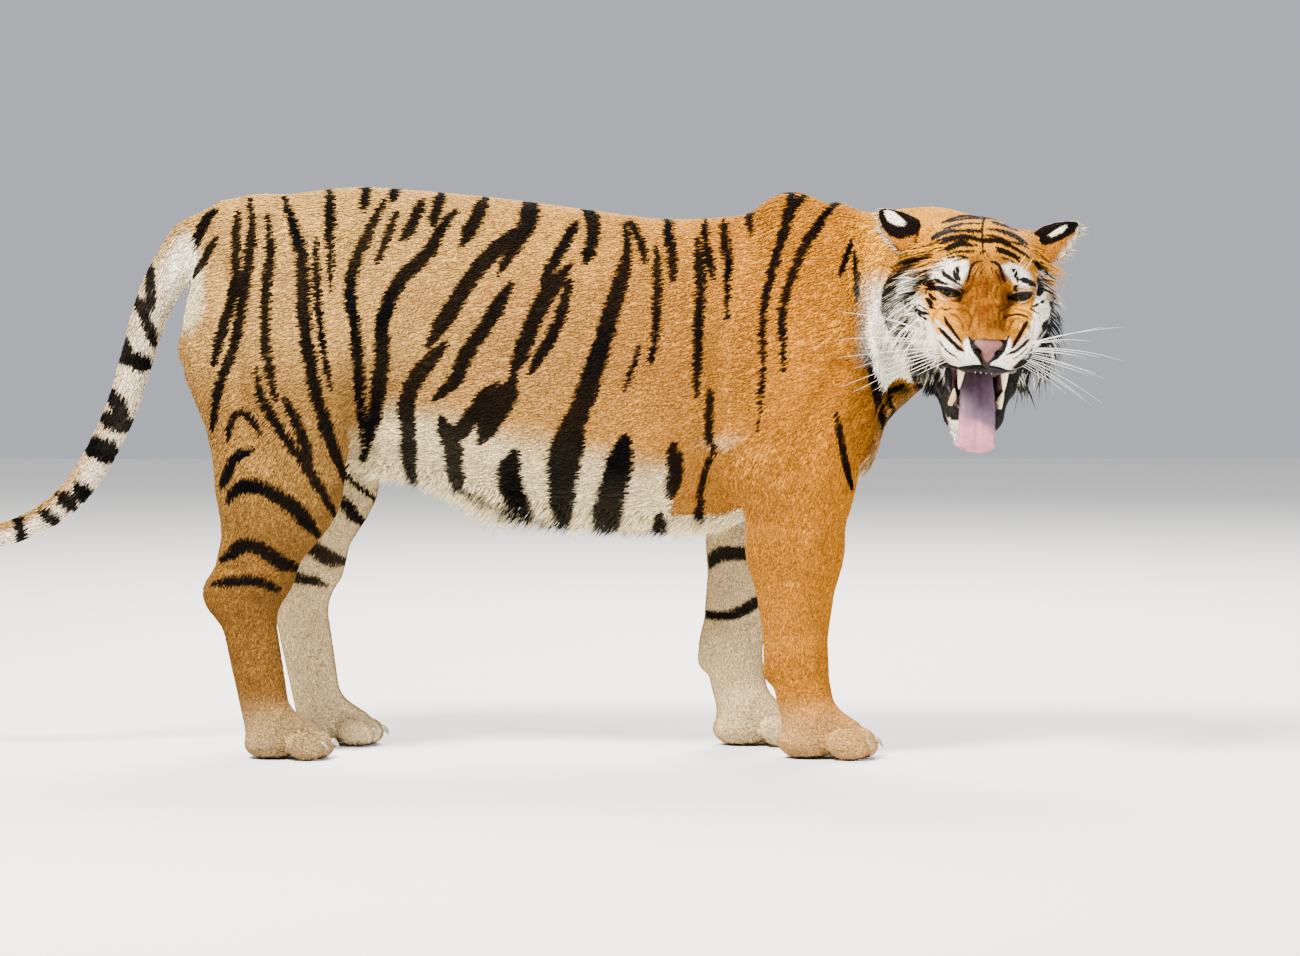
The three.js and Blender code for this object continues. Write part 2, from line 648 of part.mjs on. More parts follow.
const NOSE = { color: 0x9c6a62, roughness: 0.45, metalness: 0 };
const WET = { color: 0xc4808c, roughness: 0.3, metalness: 0 };
const GUM = { color: 0x3a2a2c, roughness: 0.4, metalness: 0 };
const EYES = { color: 0x2a2218, roughness: 0.1, metalness: 0 };

const inHead = ({ point, normal }) => ({
  point: vec(point).applyMatrix4(toHead).toArray(),
  normal: vec(normal).transformDirection(toHead).toArray(),
});
const MOUTH_SLOPE = radians(-32);
const MOUTH_SEAM = { point: [-70, 0, -112], normal: [Math.sin(MOUTH_SLOPE), 0, -Math.cos(MOUTH_SLOPE)] };
const JAW_BACK = { point: [-78, 0, -112], normal: [-1, 0, 0.2] };

// A sphere or, with a shape, an ellipsoid.
const ball = (at, radius, around, down) =>
  solidOf(new THREE.SphereGeometry(radius, around, down).rotateX(Math.PI / 2).translate(...at));

function headParts() {
  const grid = [
    axis(-330, 190, 40, -20, 150, 16.6),
    axis(-200, 200, 37, -80, 80, 16.6),
    axis(-300, 170, 36, -116, 24, 16),
  ];
  const seams = [NECK_SEAM, CHEST_SEAM].map((seam) => inHead(otherSide(seam)));
  const uncutHead = solidOf(polygonise(fleshFromHead, grid));
  const whole = largest(seams.reduce(cutAt, uncutHead));
  const jaw = largest([MOUTH_SEAM, JAW_BACK].map(otherSide).reduce(cutAt, whole));
  const eyes = both((s) => onSide(EYE.at, s));
  let head = largest(whole.subtract(beyond(MOUTH_SEAM).intersect(beyond(JAW_BACK))));
  for (const at of eyes) head = head.subtract(ball(at, EYE.radius + 0.4, 12, 8));
  for (const [n, s] of SIDES.entries()) head = head.add(lids(eyes[n], s));
  head = largest(head);
  addPart("head", head, FUR, headFrame);
  const beard = CHIN_TUFT.reduce((solid, hair) => solid.add(chinLock(hair)), jaw);
  addPart("jaw", largest(beard), FUR, headFrame);
  for (const [n, at] of eyes.entries())
    addPart(`eye_${["right", "left"][n]}`, ball(at, EYE.radius, 12, 8), EYES, headFrame);
  const clear = grown(uncutHead);
  const nose = largest(nosePad().subtract(clear));
  addPart("nose", nose, NOSE, headFrame);
  const ears = both((s) => largest(ear(s).subtract(clear)));
  ears.forEach((shape, n) => addPart(`ear_${["right", "left"][n]}`, shape, FUR, headFrame));
  const mouth = (name, solid, others, look) =>
    addPart(name, largest(clearOf(others, solid.subtract(clear))), look, headFrame);
  const licker = tongue(),
    upperLip = lip(UPPER_LIP),
    lowerLip = lip(LOWER_LIP);
  mouth("tongue", licker, [], WET);
  mouth("lip_upper", upperLip, [], GUM);
  mouth("lip_lower", lowerLip, [licker], GUM);
  mouth("gums_upper", gums(UPPER_TEETH, SIDES), [licker, upperLip], GUM);
  for (const [n, s] of SIDES.entries())
    mouth(`gums_lower_${["right", "left"][n]}`, gums(LOWER_TEETH, [s]), [licker, lowerLip], GUM);
  for (const [n, s] of SIDES.entries()) {
    const hair = ruff(s).subtract(ear(s, 2)).subtract(clear).subtract(grown(inHeadFrame(uncut[0])));
    addPart(`ruff_${["right", "left"][n]}`, largest(hair), FUR, headFrame);
  }
}

// The tuft under the chin, each lock by its root's place across the closed jaw and its length.
const CHIN_TUFT = [[-30, 30], [-14, 40], [4, 44], [22, 40], [36, 28]];
function chinLock([y, long]) {
  const root = vec(opened([86 - Math.abs(y) * 0.5, y, -128])),
    tip = root.clone().add(new THREE.Vector3(-6, y * 0.2, -long));
  return lock(root, tip, 13, 7, new THREE.Vector3(0, 1, 0), new THREE.Vector3(8, 0, 0));
}

const inHeadFrame = (solid) => solidOf(geometryOf(solid).applyMatrix4(toHead));

// The long hair round each cheek: where its locks grow from and where they end, from below the ear to the
// throat, on the left side. The second row lies behind the first.
const RUFF = {
  roots: [[-104, 88, 24], [-98, 102, -32], [-96, 104, -78], [-92, 92, -116], [-88, 62, -134]],
  tips: [[-158, 134, 24], [-160, 168, -56], [-146, 172, -116], [-128, 146, -172], [-116, 84, -206]],
  rows: [{ locks: 7, back: 0, from: 0 }, { locks: 5, back: 46, from: 0.05 }],
  sweep: 0.2, // how far down the ruff a lock ends from where it grows
  half_width: 32,
  thick: 11,
  right_ahead: 46, // the right side's lies against the chest, so it comes this much further forward
};
function ruff(side) {
  const ahead = side < 0 ? RUFF.right_ahead : 0;
  const core = [
    limb([-130 + ahead, side * 90, -6], [-116 + ahead, side * 100, -84], 38, 46, 30, 1),
    limb([-116 + ahead, side * 98, -84], [-98 + ahead, side * 72, -124], 45, 34, 30, 1),
  ];
  const grid = [axis(-230, 10, 36), side < 0 ? axis(-205, 10, 36) : axis(-10, 205, 36), axis(-225, 75, 36)];
  let solid = solidOf(polygonise(fieldOf(core), grid));
  const [roots, tips] = [RUFF.roots, RUFF.tips].map((line) => smoothLine(line.map((p) => onSide(p, side))));
  for (const { locks, back, from } of RUFF.rows)
    for (let n = 0; n < locks; n++) {
      const t = from + ((1 - from) * n) / (locks - 1);
      const [root, tip] = [roots.getPoint(t), tips.getPoint(Math.min(t + RUFF.sweep, 1))];
      root.x += ahead - back;
      tip.x += ahead * 1.4 - back * 0.8;
      tip.multiplyScalar(1 + 0.05 * (random() - 0.5));
      const along = roots.getTangent(t);
      const bulge = new THREE.Vector3(12, side * 22, 0);
      solid = solid.add(lock(root, tip, RUFF.half_width, RUFF.thick, along, bulge));
    }
  return largest(solid);
}

// A lock of hair: flat, widest a third of the way out, ending in a point, and bulging between root and tip.
function lock(root, tip, width, thick, across, bulge) {
  const middle = root.clone().lerp(tip, 0.5).add(bulge);
  const curve = new THREE.QuadraticBezierCurve3(root, middle, tip);
  const shape = (t) => Math.sqrt(1 - t) * (0.62 + 0.9 * t * (1 - t) * 1.6);
  return bar(curve, 4, 3, (t) => width * shape(t), (t) => thick * shape(t), across, true);
}

const DOWN = [0, 0, -1],
  JAW_UP = vec([0, 0, 1]).applyQuaternion(jawTurn).toArray();

// Where the flesh ends, from a point within it along a direction.
function surfaceFrom(point, direction) {
  const p = vec(point),
    d = vec(direction);
  for (let step = 0; step < 90 && fleshFromHead(...p) < 0; step++) p.addScaledVector(d, 1);
  return p.toArray();
}
const acrossFront = (line) => [...line, ...line.map((p) => onSide(p, -1)).reverse()];
const smoothLine = (points) => new THREE.CatmullRomCurve3(points.map(vec), false, "centripetal");

// The dark lips: a thin roll along the edge of each jaw, given from the mouth's left corner to its front.
const LIP_RADIUS = 6.5;
const UPPER_LIP = [[-20, 58, -146], [2, 62, -126], [46, 55, -120], [82, 40, -118], [97, 14, -115]];
const LOWER_LIP = [[-34, 58, -120], [20, 50, -120], [58, 40, -120], [86, 26, -122], [94, 8, -122]]
  .map(opened)
  .map((p) => surfaceFrom(p, JAW_UP));
function lip(line) {
  const round = () => LIP_RADIUS;
  return bar(smoothLine(acrossFront(line)), 5, 12, round, round, new THREE.Vector3(0, 0, 1));
}

// The gums: the upper pair as one bar round the jaw, the lower pair as two, with the tongue between them.
// The teeth grow from them.
const UPPER_GUM = [[0, 40, -96], [44, 38, -96], [74, 31, -96], [86, 10, -98]];
const UPPER_TEETH = {
  line: acrossFront(UPPER_GUM.map((p) => surfaceFrom(p, DOWN))),
  radius: 9,
  canine: { at: [76, 37, -110], to: [80, 39, -156], thick: 9 },
  incisors: { at: [87, -110], apart: 9.5, down: -14, thick: 5 },
};
const LOWER_TEETH = {
  line: [[-16, 42, -130], [26, 42, -130], [54, 40, -130], [74, 30, -130]]
    .map(opened)
    .map((p) => surfaceFrom(p, JAW_UP)),
  radius: 9,
  canine: { at: opened([62, 39, -112]), to: opened([70, 43, -62]), thick: 8.5 },
};
function gums({ line, radius, canine, incisors }, sides) {
  const round = () => radius;
  const placed = sides.length > 1 ? line : line.map((p) => onSide(p, sides[0]));
  let solid = bar(smoothLine(placed), 5, 7, round, round, new THREE.Vector3(0, 0, 1));
  for (const s of sides) {
    solid = solid.add(tooth(onSide(canine.at, s), onSide(canine.to, s), canine.thick, 3));
    if (!incisors) continue;
    const [x, z] = incisors.at;
    for (const n of [0.5, 1.5, 2.5]) {
      const y = s * n * incisors.apart;
      solid = solid.add(tooth([x - n * 1.5, y, z], [x, y, z + incisors.down], incisors.thick));
    }
  }
  return solid;
}

// A tooth: a cone bent back a little.
function tooth(from, to, thick, rings = 2) {
  const [a, b] = [from, to].map(vec);
  const bend = a.clone().lerp(b, 0.5).add(new THREE.Vector3(thick * 0.35, 0, 0));
  const taper = (t) => thick * Math.sqrt(1 - t) * (1 - 0.2 * t);
  const curve = new THREE.QuadraticBezierCurve3(a, bend, b);
  return bar(curve, 5, rings, taper, taper, new THREE.Vector3(0, 1, 0), true);
}

// The two lids of an eye: a thin cup round the eyeball, open along the slit between them.
function lids(at, side) {
  const cup = ball(at, EYE.radius + 0.4 + EYE.lid, 14, 9).subtract(ball(at, EYE.radius + 0.4, 12, 8));
  const slit = new THREE.SphereGeometry(1, 18, 8).scale(60, ...EYE.slit);
  slit.rotateX(side * radians(EYE.slant)).translate(at[0] + 12, at[1], at[2]);
  return cup.subtract(solidOf(slit));
}

// The bare pad of the nose, with a nostril on each side.
function nosePad() {
  const forms = [
    mass([113, 0, -71], [19, 30, 15], 8, 10),
    limb([115, 0, -77], [110, 0, -101], 16, 8, 8),
  ];
  const nostrils = both((s) => mass([125, s * 17, -79], [14, 7, 5.5], 3, 20));
  const grid = [axis(80, 144, 8.2), axis(-40, 40, 7.6), axis(-121, -47, 8.2)];
  return largest(solidOf(polygonise(fieldOf(forms, nostrils), grid)));
}

// An ear, laid back and turned so that its back faces forward: a cup open to the rear. With room, it is the
// room the ear takes instead, that much larger all round and not hollowed.
function ear(side, room = 0) {
  const root = vec(onSide(EAR.root, side)),
    tip = vec(onSide(EAR.tip, side));
  const along = tip.clone().sub(root),
    length = along.length();
  const up = vec(onSide(EAR.faces, side));
  const x = along.normalize(),
    y = new THREE.Vector3().crossVectors(up, x).normalize(),
    z = new THREE.Vector3().crossVectors(x, y);
  const frame = new THREE.Matrix4().makeBasis(x, y, z).setPosition(root);
  const half = length / 2,
    w = EAR.half_width + room,
    t = EAR.depth + room;
  const foot = ellipsoid([-8, 0, -6], [30, w * 0.8, t]);
  const shell = ellipsoid([half - 4, 0, 0], [half + 12 + room, w, t]).add(foot);
  const hollow = ellipsoid([half + 4, 0, -t * 0.72], [half + 7, w - 8, t * 1.15]);
  const geometry = geometryOf(largest(room ? shell : shell.subtract(hollow)));
  const { position } = geometry.attributes;
  for (let i = 0; i < position.count; i++) {
    const out = THREE.MathUtils.clamp(position.getX(i) / length, 0, 1);
    position.setY(i, position.getY(i) * (1 - EAR.taper * out * out));
  }
  return solidOf(geometry.applyMatrix4(frame));
}

const ellipsoid = (at, radii, around = 12, down = 8) =>
  solidOf(new THREE.SphereGeometry(1, around, down).rotateZ(Math.PI / 2).scale(...radii).translate(...at));

function tongue() {
  const line = new THREE.CatmullRomCurve3(TONGUE_LINE.map(vec), false, "centripetal");
  const tip = (t) => Math.sqrt(Math.max(1 - Math.max((t - 0.86) / 0.142, 0) ** 2, 0.03));
  const width = (t) => (26 + 9 * Math.sin(Math.min(t * 1.25, 1) * Math.PI * 0.5)) * tip(t);
  const thick = (t) => (15 - 8 * Math.min(t * 1.4, 1)) * tip(t);
  return bar(line, 8, 10, width, thick);
}

// ---------------------------------------------------------------- assembly

trunkParts();
for (const [name, leg] of Object.entries(LEGS)) lowerLegParts(name, leg);
tailParts();
headParts();
fringe();

const tiger = new THREE.Group();
tiger.add(...parts);
const middle = new THREE.Box3().setFromObject(tiger, true).getCenter(new THREE.Vector3());
tiger.position.set(-middle.x, -middle.y, 0);
const model = new THREE.Group();
model.add(tiger);

export default model;
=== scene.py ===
"""A Bengal tiger, life size: one skin over the solid parts, with its coat, head and stage."""

import math

import bmesh
import bpy
import numpy as np
from mathutils import Matrix, Vector
from mathutils.bvhtree import BVHTree


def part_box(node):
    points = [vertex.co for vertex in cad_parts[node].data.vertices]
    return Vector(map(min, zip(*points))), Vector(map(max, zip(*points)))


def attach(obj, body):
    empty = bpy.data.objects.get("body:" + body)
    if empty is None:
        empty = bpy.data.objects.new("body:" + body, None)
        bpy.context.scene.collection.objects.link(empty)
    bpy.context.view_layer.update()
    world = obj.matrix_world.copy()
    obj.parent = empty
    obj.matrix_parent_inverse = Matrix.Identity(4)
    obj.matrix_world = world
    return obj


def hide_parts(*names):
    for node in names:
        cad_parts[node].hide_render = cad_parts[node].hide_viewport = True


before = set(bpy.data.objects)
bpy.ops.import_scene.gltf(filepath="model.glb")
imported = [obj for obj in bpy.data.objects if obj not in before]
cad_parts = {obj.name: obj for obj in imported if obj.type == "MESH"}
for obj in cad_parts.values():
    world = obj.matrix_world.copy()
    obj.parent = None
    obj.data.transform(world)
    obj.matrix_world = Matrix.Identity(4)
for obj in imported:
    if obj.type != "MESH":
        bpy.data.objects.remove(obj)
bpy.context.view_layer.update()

bl_info = {
    "name": "Bengal Tiger",
    "version": (1, 0, 0),
    "blender": (4, 5, 0),
    "location": "3D Viewport > Sidebar > Tiger",
    "description": "Builds the skin, coat, face and stage of a life-size Bengal tiger",
    "category": "Add Mesh",
}

BODY = "root"
SIDES = {"right": -1, "left": 1}

# ---------------------------------------------------------------- places
# Sizes are in millimetres in the body's own frame: +X to the chest, +Y to the animal's left, +Z up, with
# the soles on Z = 0 and the spine on Y = 0. The head has its own frame, with its origin midway between
# the eyes, +X along the muzzle and +Z up.

HEAD_AT = np.array((578.0, -262.0, 822.0))
HEAD_YAW, HEAD_PITCH, HEAD_ROLL = -86.5, 9.0, -4.0
EYE_AT, EYE_RADIUS = (-6.0, 63.0, 0.0), 19.0
JAW_HINGE, JAW_OPEN = np.array((-95.0, 0.0, -75.0)), 36.0


def turn(degrees, axis):
    return np.array(Matrix.Rotation(math.radians(degrees), 3, axis))


HEAD_TURN = turn(HEAD_YAW, "Z") @ turn(HEAD_PITCH, "Y") @ turn(HEAD_ROLL, "X")
JAW_TURN = turn(JAW_OPEN, "Y")


def rows(points):
    return np.atleast_2d(np.asarray(points, dtype=float))


def from_head(points):
    """Points of the head's frame in the body's frame."""
    return rows(points) @ HEAD_TURN.T + HEAD_AT


def to_head(points):
    return (rows(points) - HEAD_AT) @ HEAD_TURN


def opened(points):
    """Points of the closed jaw, where they are with the mouth open."""
    return (rows(points) - JAW_HINGE) @ JAW_TURN.T + JAW_HINGE


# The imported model's frame differs from the body's by a shift alone, read off an eye.
_eye_lo, _eye_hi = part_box("eye_right")
SHIFT = np.array((_eye_lo + _eye_hi) / 2) - from_head((EYE_AT[0], -EYE_AT[1], EYE_AT[2]))[0] / 1000


def metres(points):
    return rows(points) / 1000 + SHIFT


def millimetres(points):
    return (rows(points) - SHIFT) * 1000


# ---------------------------------------------------------------- small maths


def ramp(x, start, end):
    """0 before start, 1 past end, and a smooth rise between."""
    t = np.clip((np.asarray(x, dtype=float) - start) / (end - start), 0, 1)
    return t * t * (3 - 2 * t)


def unit(v):
    return v / np.maximum(np.linalg.norm(v, axis=-1, keepdims=True), 1e-9)


def dots(a, b):
    return (a * b).sum(axis=-1)


def linear(red, green, blue):
    """A colour given as 0 to 255 in display steps, as Blender keeps it."""
    c = np.array((red, green, blue)) / 255
    return tuple(float(v) for v in np.where(c > 0.04045, ((c + 0.055) / 1.055) ** 2.4, c / 12.92))


def smooth_line(points, count):
    """A smooth curve through the points, as count points evenly spread along it."""
    p = rows(points)
    p = np.vstack((2 * p[0] - p[1], p, 2 * p[-1] - p[-2]))
    knots = np.concatenate(([0], np.cumsum(np.sqrt(np.linalg.norm(np.diff(p[:, :3], axis=0), axis=1)))))
    found = []
    for i in range(1, len(p) - 2):
        t0, t1, t2, t3 = knots[i - 1 : i + 3]
        t = np.linspace(t1, t2, 24, endpoint=False)[:, None]
        a = (t1 - t) / (t1 - t0) * p[i - 1] + (t - t0) / (t1 - t0) * p[i]
        b = (t2 - t) / (t2 - t1) * p[i] + (t - t1) / (t2 - t1) * p[i + 1]
        c = (t3 - t) / (t3 - t2) * p[i + 1] + (t - t2) / (t3 - t2) * p[i + 2]
        d = (t2 - t) / (t2 - t0) * a + (t - t0) / (t2 - t0) * b
        e = (t3 - t) / (t3 - t1) * b + (t - t1) / (t3 - t1) * c
        found.append((t2 - t) / (t2 - t1) * d + (t - t1) / (t2 - t1) * e)
    found = np.vstack((*found, p[-2:-1]))
    along = np.concatenate(([0], np.cumsum(np.linalg.norm(np.diff(found[:, :3], axis=0), axis=1))))
    at = np.linspace(0, along[-1], count)
    return np.stack([np.interp(at, along, found[:, k]) for k in range(p.shape[1])], axis=1)


def near_line(points, line, values=None, closed=False):
    """Distance from points to a polyline, with the values of its corners at the nearest place."""
    line = rows(line)
    if closed:
        line = np.vstack((line, line[:1]))
    best = np.full(len(points), 1e9)
    value = np.zeros((len(points), *np.shape(values)[1:]))
    for n, (a, b) in enumerate(zip(line[:-1], line[1:])):
        ab = b - a
        t = np.clip(((points - a) @ ab) / max(ab @ ab, 1e-9), 0, 1)
        away = np.linalg.norm(points - a - t[:, None] * ab, axis=1)
        nearer = away < best
        best[nearer] = away[nearer]
        if values is not None:
            v = np.asarray(values, dtype=float)
            along = t if v.ndim == 1 else t[:, None]
            value[nearer] = (v[n] * (1 - along) + v[n + 1] * along)[nearer]
    return (best, value) if values is not None else best


def inside(points, outline):
    """Which points of a plane lie inside a closed outline."""
    x, y = points[:, 0], points[:, 1]
    found = np.zeros(len(points), dtype=bool)
    for (x0, y0), (x1, y1) in zip(outline, np.roll(outline, -1, axis=0)):
        if y0 != y1:
            found ^= ((y0 > y) != (y1 > y)) & (x < (x1 - x0) * (y - y0) / (y1 - y0) + x0)
    return found


def ripple(points, size, seed=0):
    """Smooth noise from -1 to 1 over the points, in patches of about the given size."""
    rng = np.random.default_rng(1000 + seed)
    out = np.zeros(len(points))
    for _ in range(7):
        wave = rng.normal(size=points.shape[1])
        wave /= np.linalg.norm(wave) * size * rng.uniform(0.22, 0.5)
        out += np.sin(points @ wave + rng.uniform(0, 6.28))
    return out / 3.4


# ---------------------------------------------------------------- the animal's form as a distance field


def mass(centre, radii, blend=25, tilt=0):
    """An ellipsoid, tilted about Y."""
    c, s = math.cos(math.radians(tilt)), math.sin(math.radians(tilt))
    centre, radii = np.array(centre, dtype=float), np.array(radii, dtype=float)

    def distance(p):
        d = p - centre
        q = np.stack((c * d[:, 0] - s * d[:, 2], d[:, 1], s * d[:, 0] + c * d[:, 2]), axis=1) / radii
        k = np.linalg.norm(q, axis=1)
        g = np.maximum(np.linalg.norm(q / radii, axis=1), 1e-9)
        return np.where(k > 1e-4, k * (k - 1) / g, -radii.min())

    reach = np.array((max(radii[0], radii[2]), radii[1], max(radii[0], radii[2]))) if tilt else radii
    return distance, blend, centre - reach, centre + reach


def limb(a, b, start, end, blend=25, flat=1.0):
    """A tapered limb from a to b, flat being how many times narrower it is across."""
    scale = np.array((1, flat, 1))
    a, b = np.array(a, dtype=float), np.array(b, dtype=float)
    ab = (b - a) * scale

    def distance(p):
        q = (p - a) * scale
        t = np.clip(q @ ab / (ab @ ab), 0, 1)
        away = np.linalg.norm(q - t[:, None] * ab, axis=1)
        return (away - (start + (end - start) * t)) / math.sqrt(flat)

    thick = max(start, end)
    return distance, blend, np.minimum(a, b) - thick, np.maximum(a, b) + thick


def blended(a, b, k):
    h = np.maximum(k - np.abs(a - b), 0) / k
    return np.minimum(a, b) - h * h * k / 4


def joined(forms, p):
    """The forms as one. Each is measured only near its own box, as it changes nothing further off."""
    d = np.full(len(p), 400.0)
    for distance, blend, low, high in forms:
        room = blend + 20
        near = np.flatnonzero(((p > low - room) & (p < high + room)).all(axis=1))
        if len(near):
            d[near] = blended(d[near], distance(p[near]), blend)
    return d


# The trunk's sections: where along the body, its top, widest level, underline and half width.
TRUNK = np.array(
    (
        (-742, 973, 830, 640, 118),
        (-640, 991, 800, 560, 148),
        (-520, 1005, 775, 506, 160),
        (-400, 999, 735, 484, 166),
        (-270, 987, 700, 440, 178),
        (-120, 967, 680, 412, 190),
        (20, 949, 680, 402, 191),
        (140, 953, 690, 402, 180),
        (250, 973, 700, 425, 162),
        (325, 971, 720, 480, 140),
    ),
    dtype=float,
)
TRUNK_CAP, TRUNK_SQUARENESS = 66.0, 2.25
_trunk = smooth_line(TRUNK, 900)


def trunk(p):
    along = np.clip(p[:, 0], TRUNK[0, 0], TRUNK[-1, 0])
    top, wide, bottom, half = (np.interp(along, _trunk[:, 0], _trunk[:, k]) for k in (1, 2, 3, 4))
    height = np.where(p[:, 2] > wide, top - wide, wide - bottom)
    n = TRUNK_SQUARENESS
    across = np.abs(p[:, 1] / half) ** n + np.abs((p[:, 2] - wide) / height) ** n
    size = np.hypot(across ** (1 / n), (p[:, 0] - along) / TRUNK_CAP)
    return (size - 1) * 0.85 * np.minimum(half, height)


LEGS = {
    "foreleg_right": (-1, 0, 0),
    "foreleg_left": (1, -112, 0),
    "hindleg_right": (-1, 0, 0),
    "hindleg_left": (1, 78, 34),
}


def foreleg_forms(side, shift, _):
    def at(x, y, z, share=1.0):
        return (x + shift * share, side * y, z)

    forearm, wrist = at(262, 142, 492, 0.3), at(256, 122, 178)
    return [
        limb(at(252, 48, 930, 0), at(322, 112, 700, 0.05), 54, 84, 45, 1.15),
        limb(at(318, 116, 690, 0.05), forearm, 96, 92, 45, 1.35),
        mass(at(208, 122, 628, 0.15), (78, 56, 140), 45, -14),
        limb(at(196, 138, 492, 0.3), at(214, 138, 470, 0.35), 50, 50, 30, 1.1),
        limb(forearm, at(254, 134, 366, 0.6), 96, 84, 30, 1.32),
        limb(at(254, 134, 366, 0.6), wrist, 84, 54, 24, 1.25),
        limb(wrist, at(278, 118, 76), 54, 50, 20, 1.05),
        mass(at(216, 118, 152), (20, 18, 20), 14),
        *paw_forms(at(292, 116, 0), side, 1),
    ]


def hindleg_forms(side, shift, knee):
    def at(x, y, z, share=1.0):
        return (x + shift * share + knee * (1 - share) * share * 2, side * y, z)

    hock = at(-712, 128, 292)
    return [
        mass(at(-672, 92, 748, 0), (148, 84, 178), 50, 4),
        limb(at(-664, 112, 680, 0.1), at(-652, 134, 500, 0.4), 140, 110, 45, 1.8),
        limb(at(-612, 134, 540, 0.3), at(-634, 138, 452, 0.5), 70, 74, 40, 1.3),
        limb(at(-652, 136, 470, 0.5), at(-692, 132, 330, 0.9), 102, 68, 32, 1.55),
        limb(at(-692, 132, 330, 0.9), hock, 66, 60, 24, 1.4),
        mass(at(-752, 128, 288), (34, 26, 38), 20, -20),
        limb(hock, at(-672, 124, 66), 52, 44, 26, 1.15),
        *paw_forms(at(-652, 124, 0), side, 0.9),
    ]


TOES = (-1.5, -0.5, 0.5, 1.5)


def toe_place(middle, n, size):
    """The middle of one toe of a paw, n counting from the paw's own middle."""
    return (middle[0] + size * (62 + (10 if abs(n) < 1 else -8)), middle[1] + size * n * 35.25, size * 27)


def paw_forms(middle, side, size):
    x, y, _ = middle
    return [
        mass((x - size * 16, y, size * 30), (size * 54, size * 55, size * 36), 16),
        limb((x - size * 6, y, size * 62), (x + size * 50, y, size * 38), size * 48, size * 36, 18, 0.82),
        *(mass(toe_place(middle, n, size), (size * 40, size * 23, size * 30), 7, 12) for n in TOES),
    ]


TAIL_LINE = (
    (-738, 0, 905),
    (-800, 0, 897),
    (-846, 0, 850),
    (-880, 0, 786),
    (-904, -2, 708),
    (-945, -6, 584),
    (-1028, -12, 450),
    (-1138, -16, 388),
    (-1268, -14, 376),
    (-1408, -6, 458),
)
TAIL_RADII = (60, 51, 41, 35, 32, 30, 27, 23, 20, 15)
_tail = smooth_line([(*p, r) for p, r in zip(TAIL_LINE, TAIL_RADII)], 60)


def tail(p):
    away, radius = near_line(p, _tail[:, :3], _tail[:, 3])
    return away - radius


BODY_FORMS = [
    (trunk, 40, np.array((-820, -200, 380)), np.array((400, 200, 1020))),
    mass((392, -4, 772), (140, 128, 188), 70, 14),
    mass((505, -42, 822), (112, 122, 146), 60, 0),
    mass((352, 0, 600), (52, 92, 110), 60, -10),
    limb((-700, 0, 900), (-800, 0, 896), 70, 50, 50),
    mass((-806, 0, 716), (30, 34, 46), 22),
    *(
        form
        for name, leg in LEGS.items()
        for form in (foreleg_forms(*leg) if name.startswith("fore") else hindleg_forms(*leg))
    ),
    (tail, 12, np.array((-1440, -80, 340)), np.array((-680, 80, 980))),
]


def both(make):
    return [make(s) for s in (-1, 1)]


HEAD_FORMS = [
    mass((-106, 0, 18), (104, 94, 98), 25),
    mass((-52, 0, 20), (82, 74, 46), 22, -14),
    mass((-190, 0, -24), (96, 112, 118), 50),
    mass((-125, 0, -88), (92, 84, 72), 40),
    limb((-4, 0, -12), (91, 0, -67), 40, 30, 18),
    mass((48, 0, -79), (72, 58, 38), 20, 6),
    *both(lambda s: mass((74, s * 42, -81), (47, 42, 37), 12, 4)),
    *both(lambda s: mass((12, s * 66, -80), (50, 26, 34), 22, 10)),
    *both(lambda s: mass((26, s * 58, -44), (46, 30, 22), 16, 24)),
    *both(lambda s: mass((-46, s * 84, -34), (68, 42, 46), 24)),
    *both(lambda s: mass((-84, s * 86, -84), (62, 42, 62), 26)),
    *both(lambda s: mass((-8, s * 50, 20), (28, 36, 15), 14, 10)),
    *both(lambda s: mass((-104, s * 60, 34), (78, 44, 48), 26)),
    *both(lambda s: mass((-142, s * 82, 58), (36, 32, 32), 22)),
    mass(opened((80, 0, -129))[0], (37, 44, 30), 18, JAW_OPEN),
    *both(lambda s: limb(opened((-60, s * 56, -112))[0], opened((66, s * 30, -128))[0], 30, 24, 22)),
    mass(opened((-8, 0, -128))[0], (92, 52, 17), 16, JAW_OPEN),
    *both(lambda s: limb((-16, s * 64, -96), opened((4, s * 52, -112))[0], 22, 22, 26)),
]
HOLLOWS = [
    limb((-62, 0, -116), (60, 0, -146), 20, 36, 10),
    mass((52, 0, -152), (84, 46, 38), 10, 26),
    mass((96, 0, -127), (60, 46, 14), 8, 0),
    *both(lambda s: mass((36, s * 60, -1), (24, 26, 15), 12)),
]


def flesh(p):
    """How far each point is outside the animal's surface, in the body's frame."""
    d = joined(BODY_FORMS, p)
    h = to_head(p)
    close = np.linalg.norm(h, axis=1) < 520
    if close.any():
        h = h[close]
        whole = blended(d[close], joined(HEAD_FORMS, h), 40)
        hollow = joined(HOLLOWS, h)
        d[close] = -blended(-whole, hollow, 8)
    return d


def slope(field, p, step=1.0):
    here = field(p)
    g = np.stack([field(p + step * axis) - here for axis in np.eye(3)], axis=1) / step
    return here, g


# ---------------------------------------------------------------- meshes


def new_object(name, mesh, body=BODY):
    obj = bpy.data.objects.new(name, mesh)
    bpy.context.scene.collection.objects.link(obj)
    if body:
        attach(obj, body)
    return obj


def turn_to_body(bm):
    """Carries a bmesh from the head's frame to the body's."""
    for v in bm.verts:
        v.co = Vector(from_head(v.co)[0])


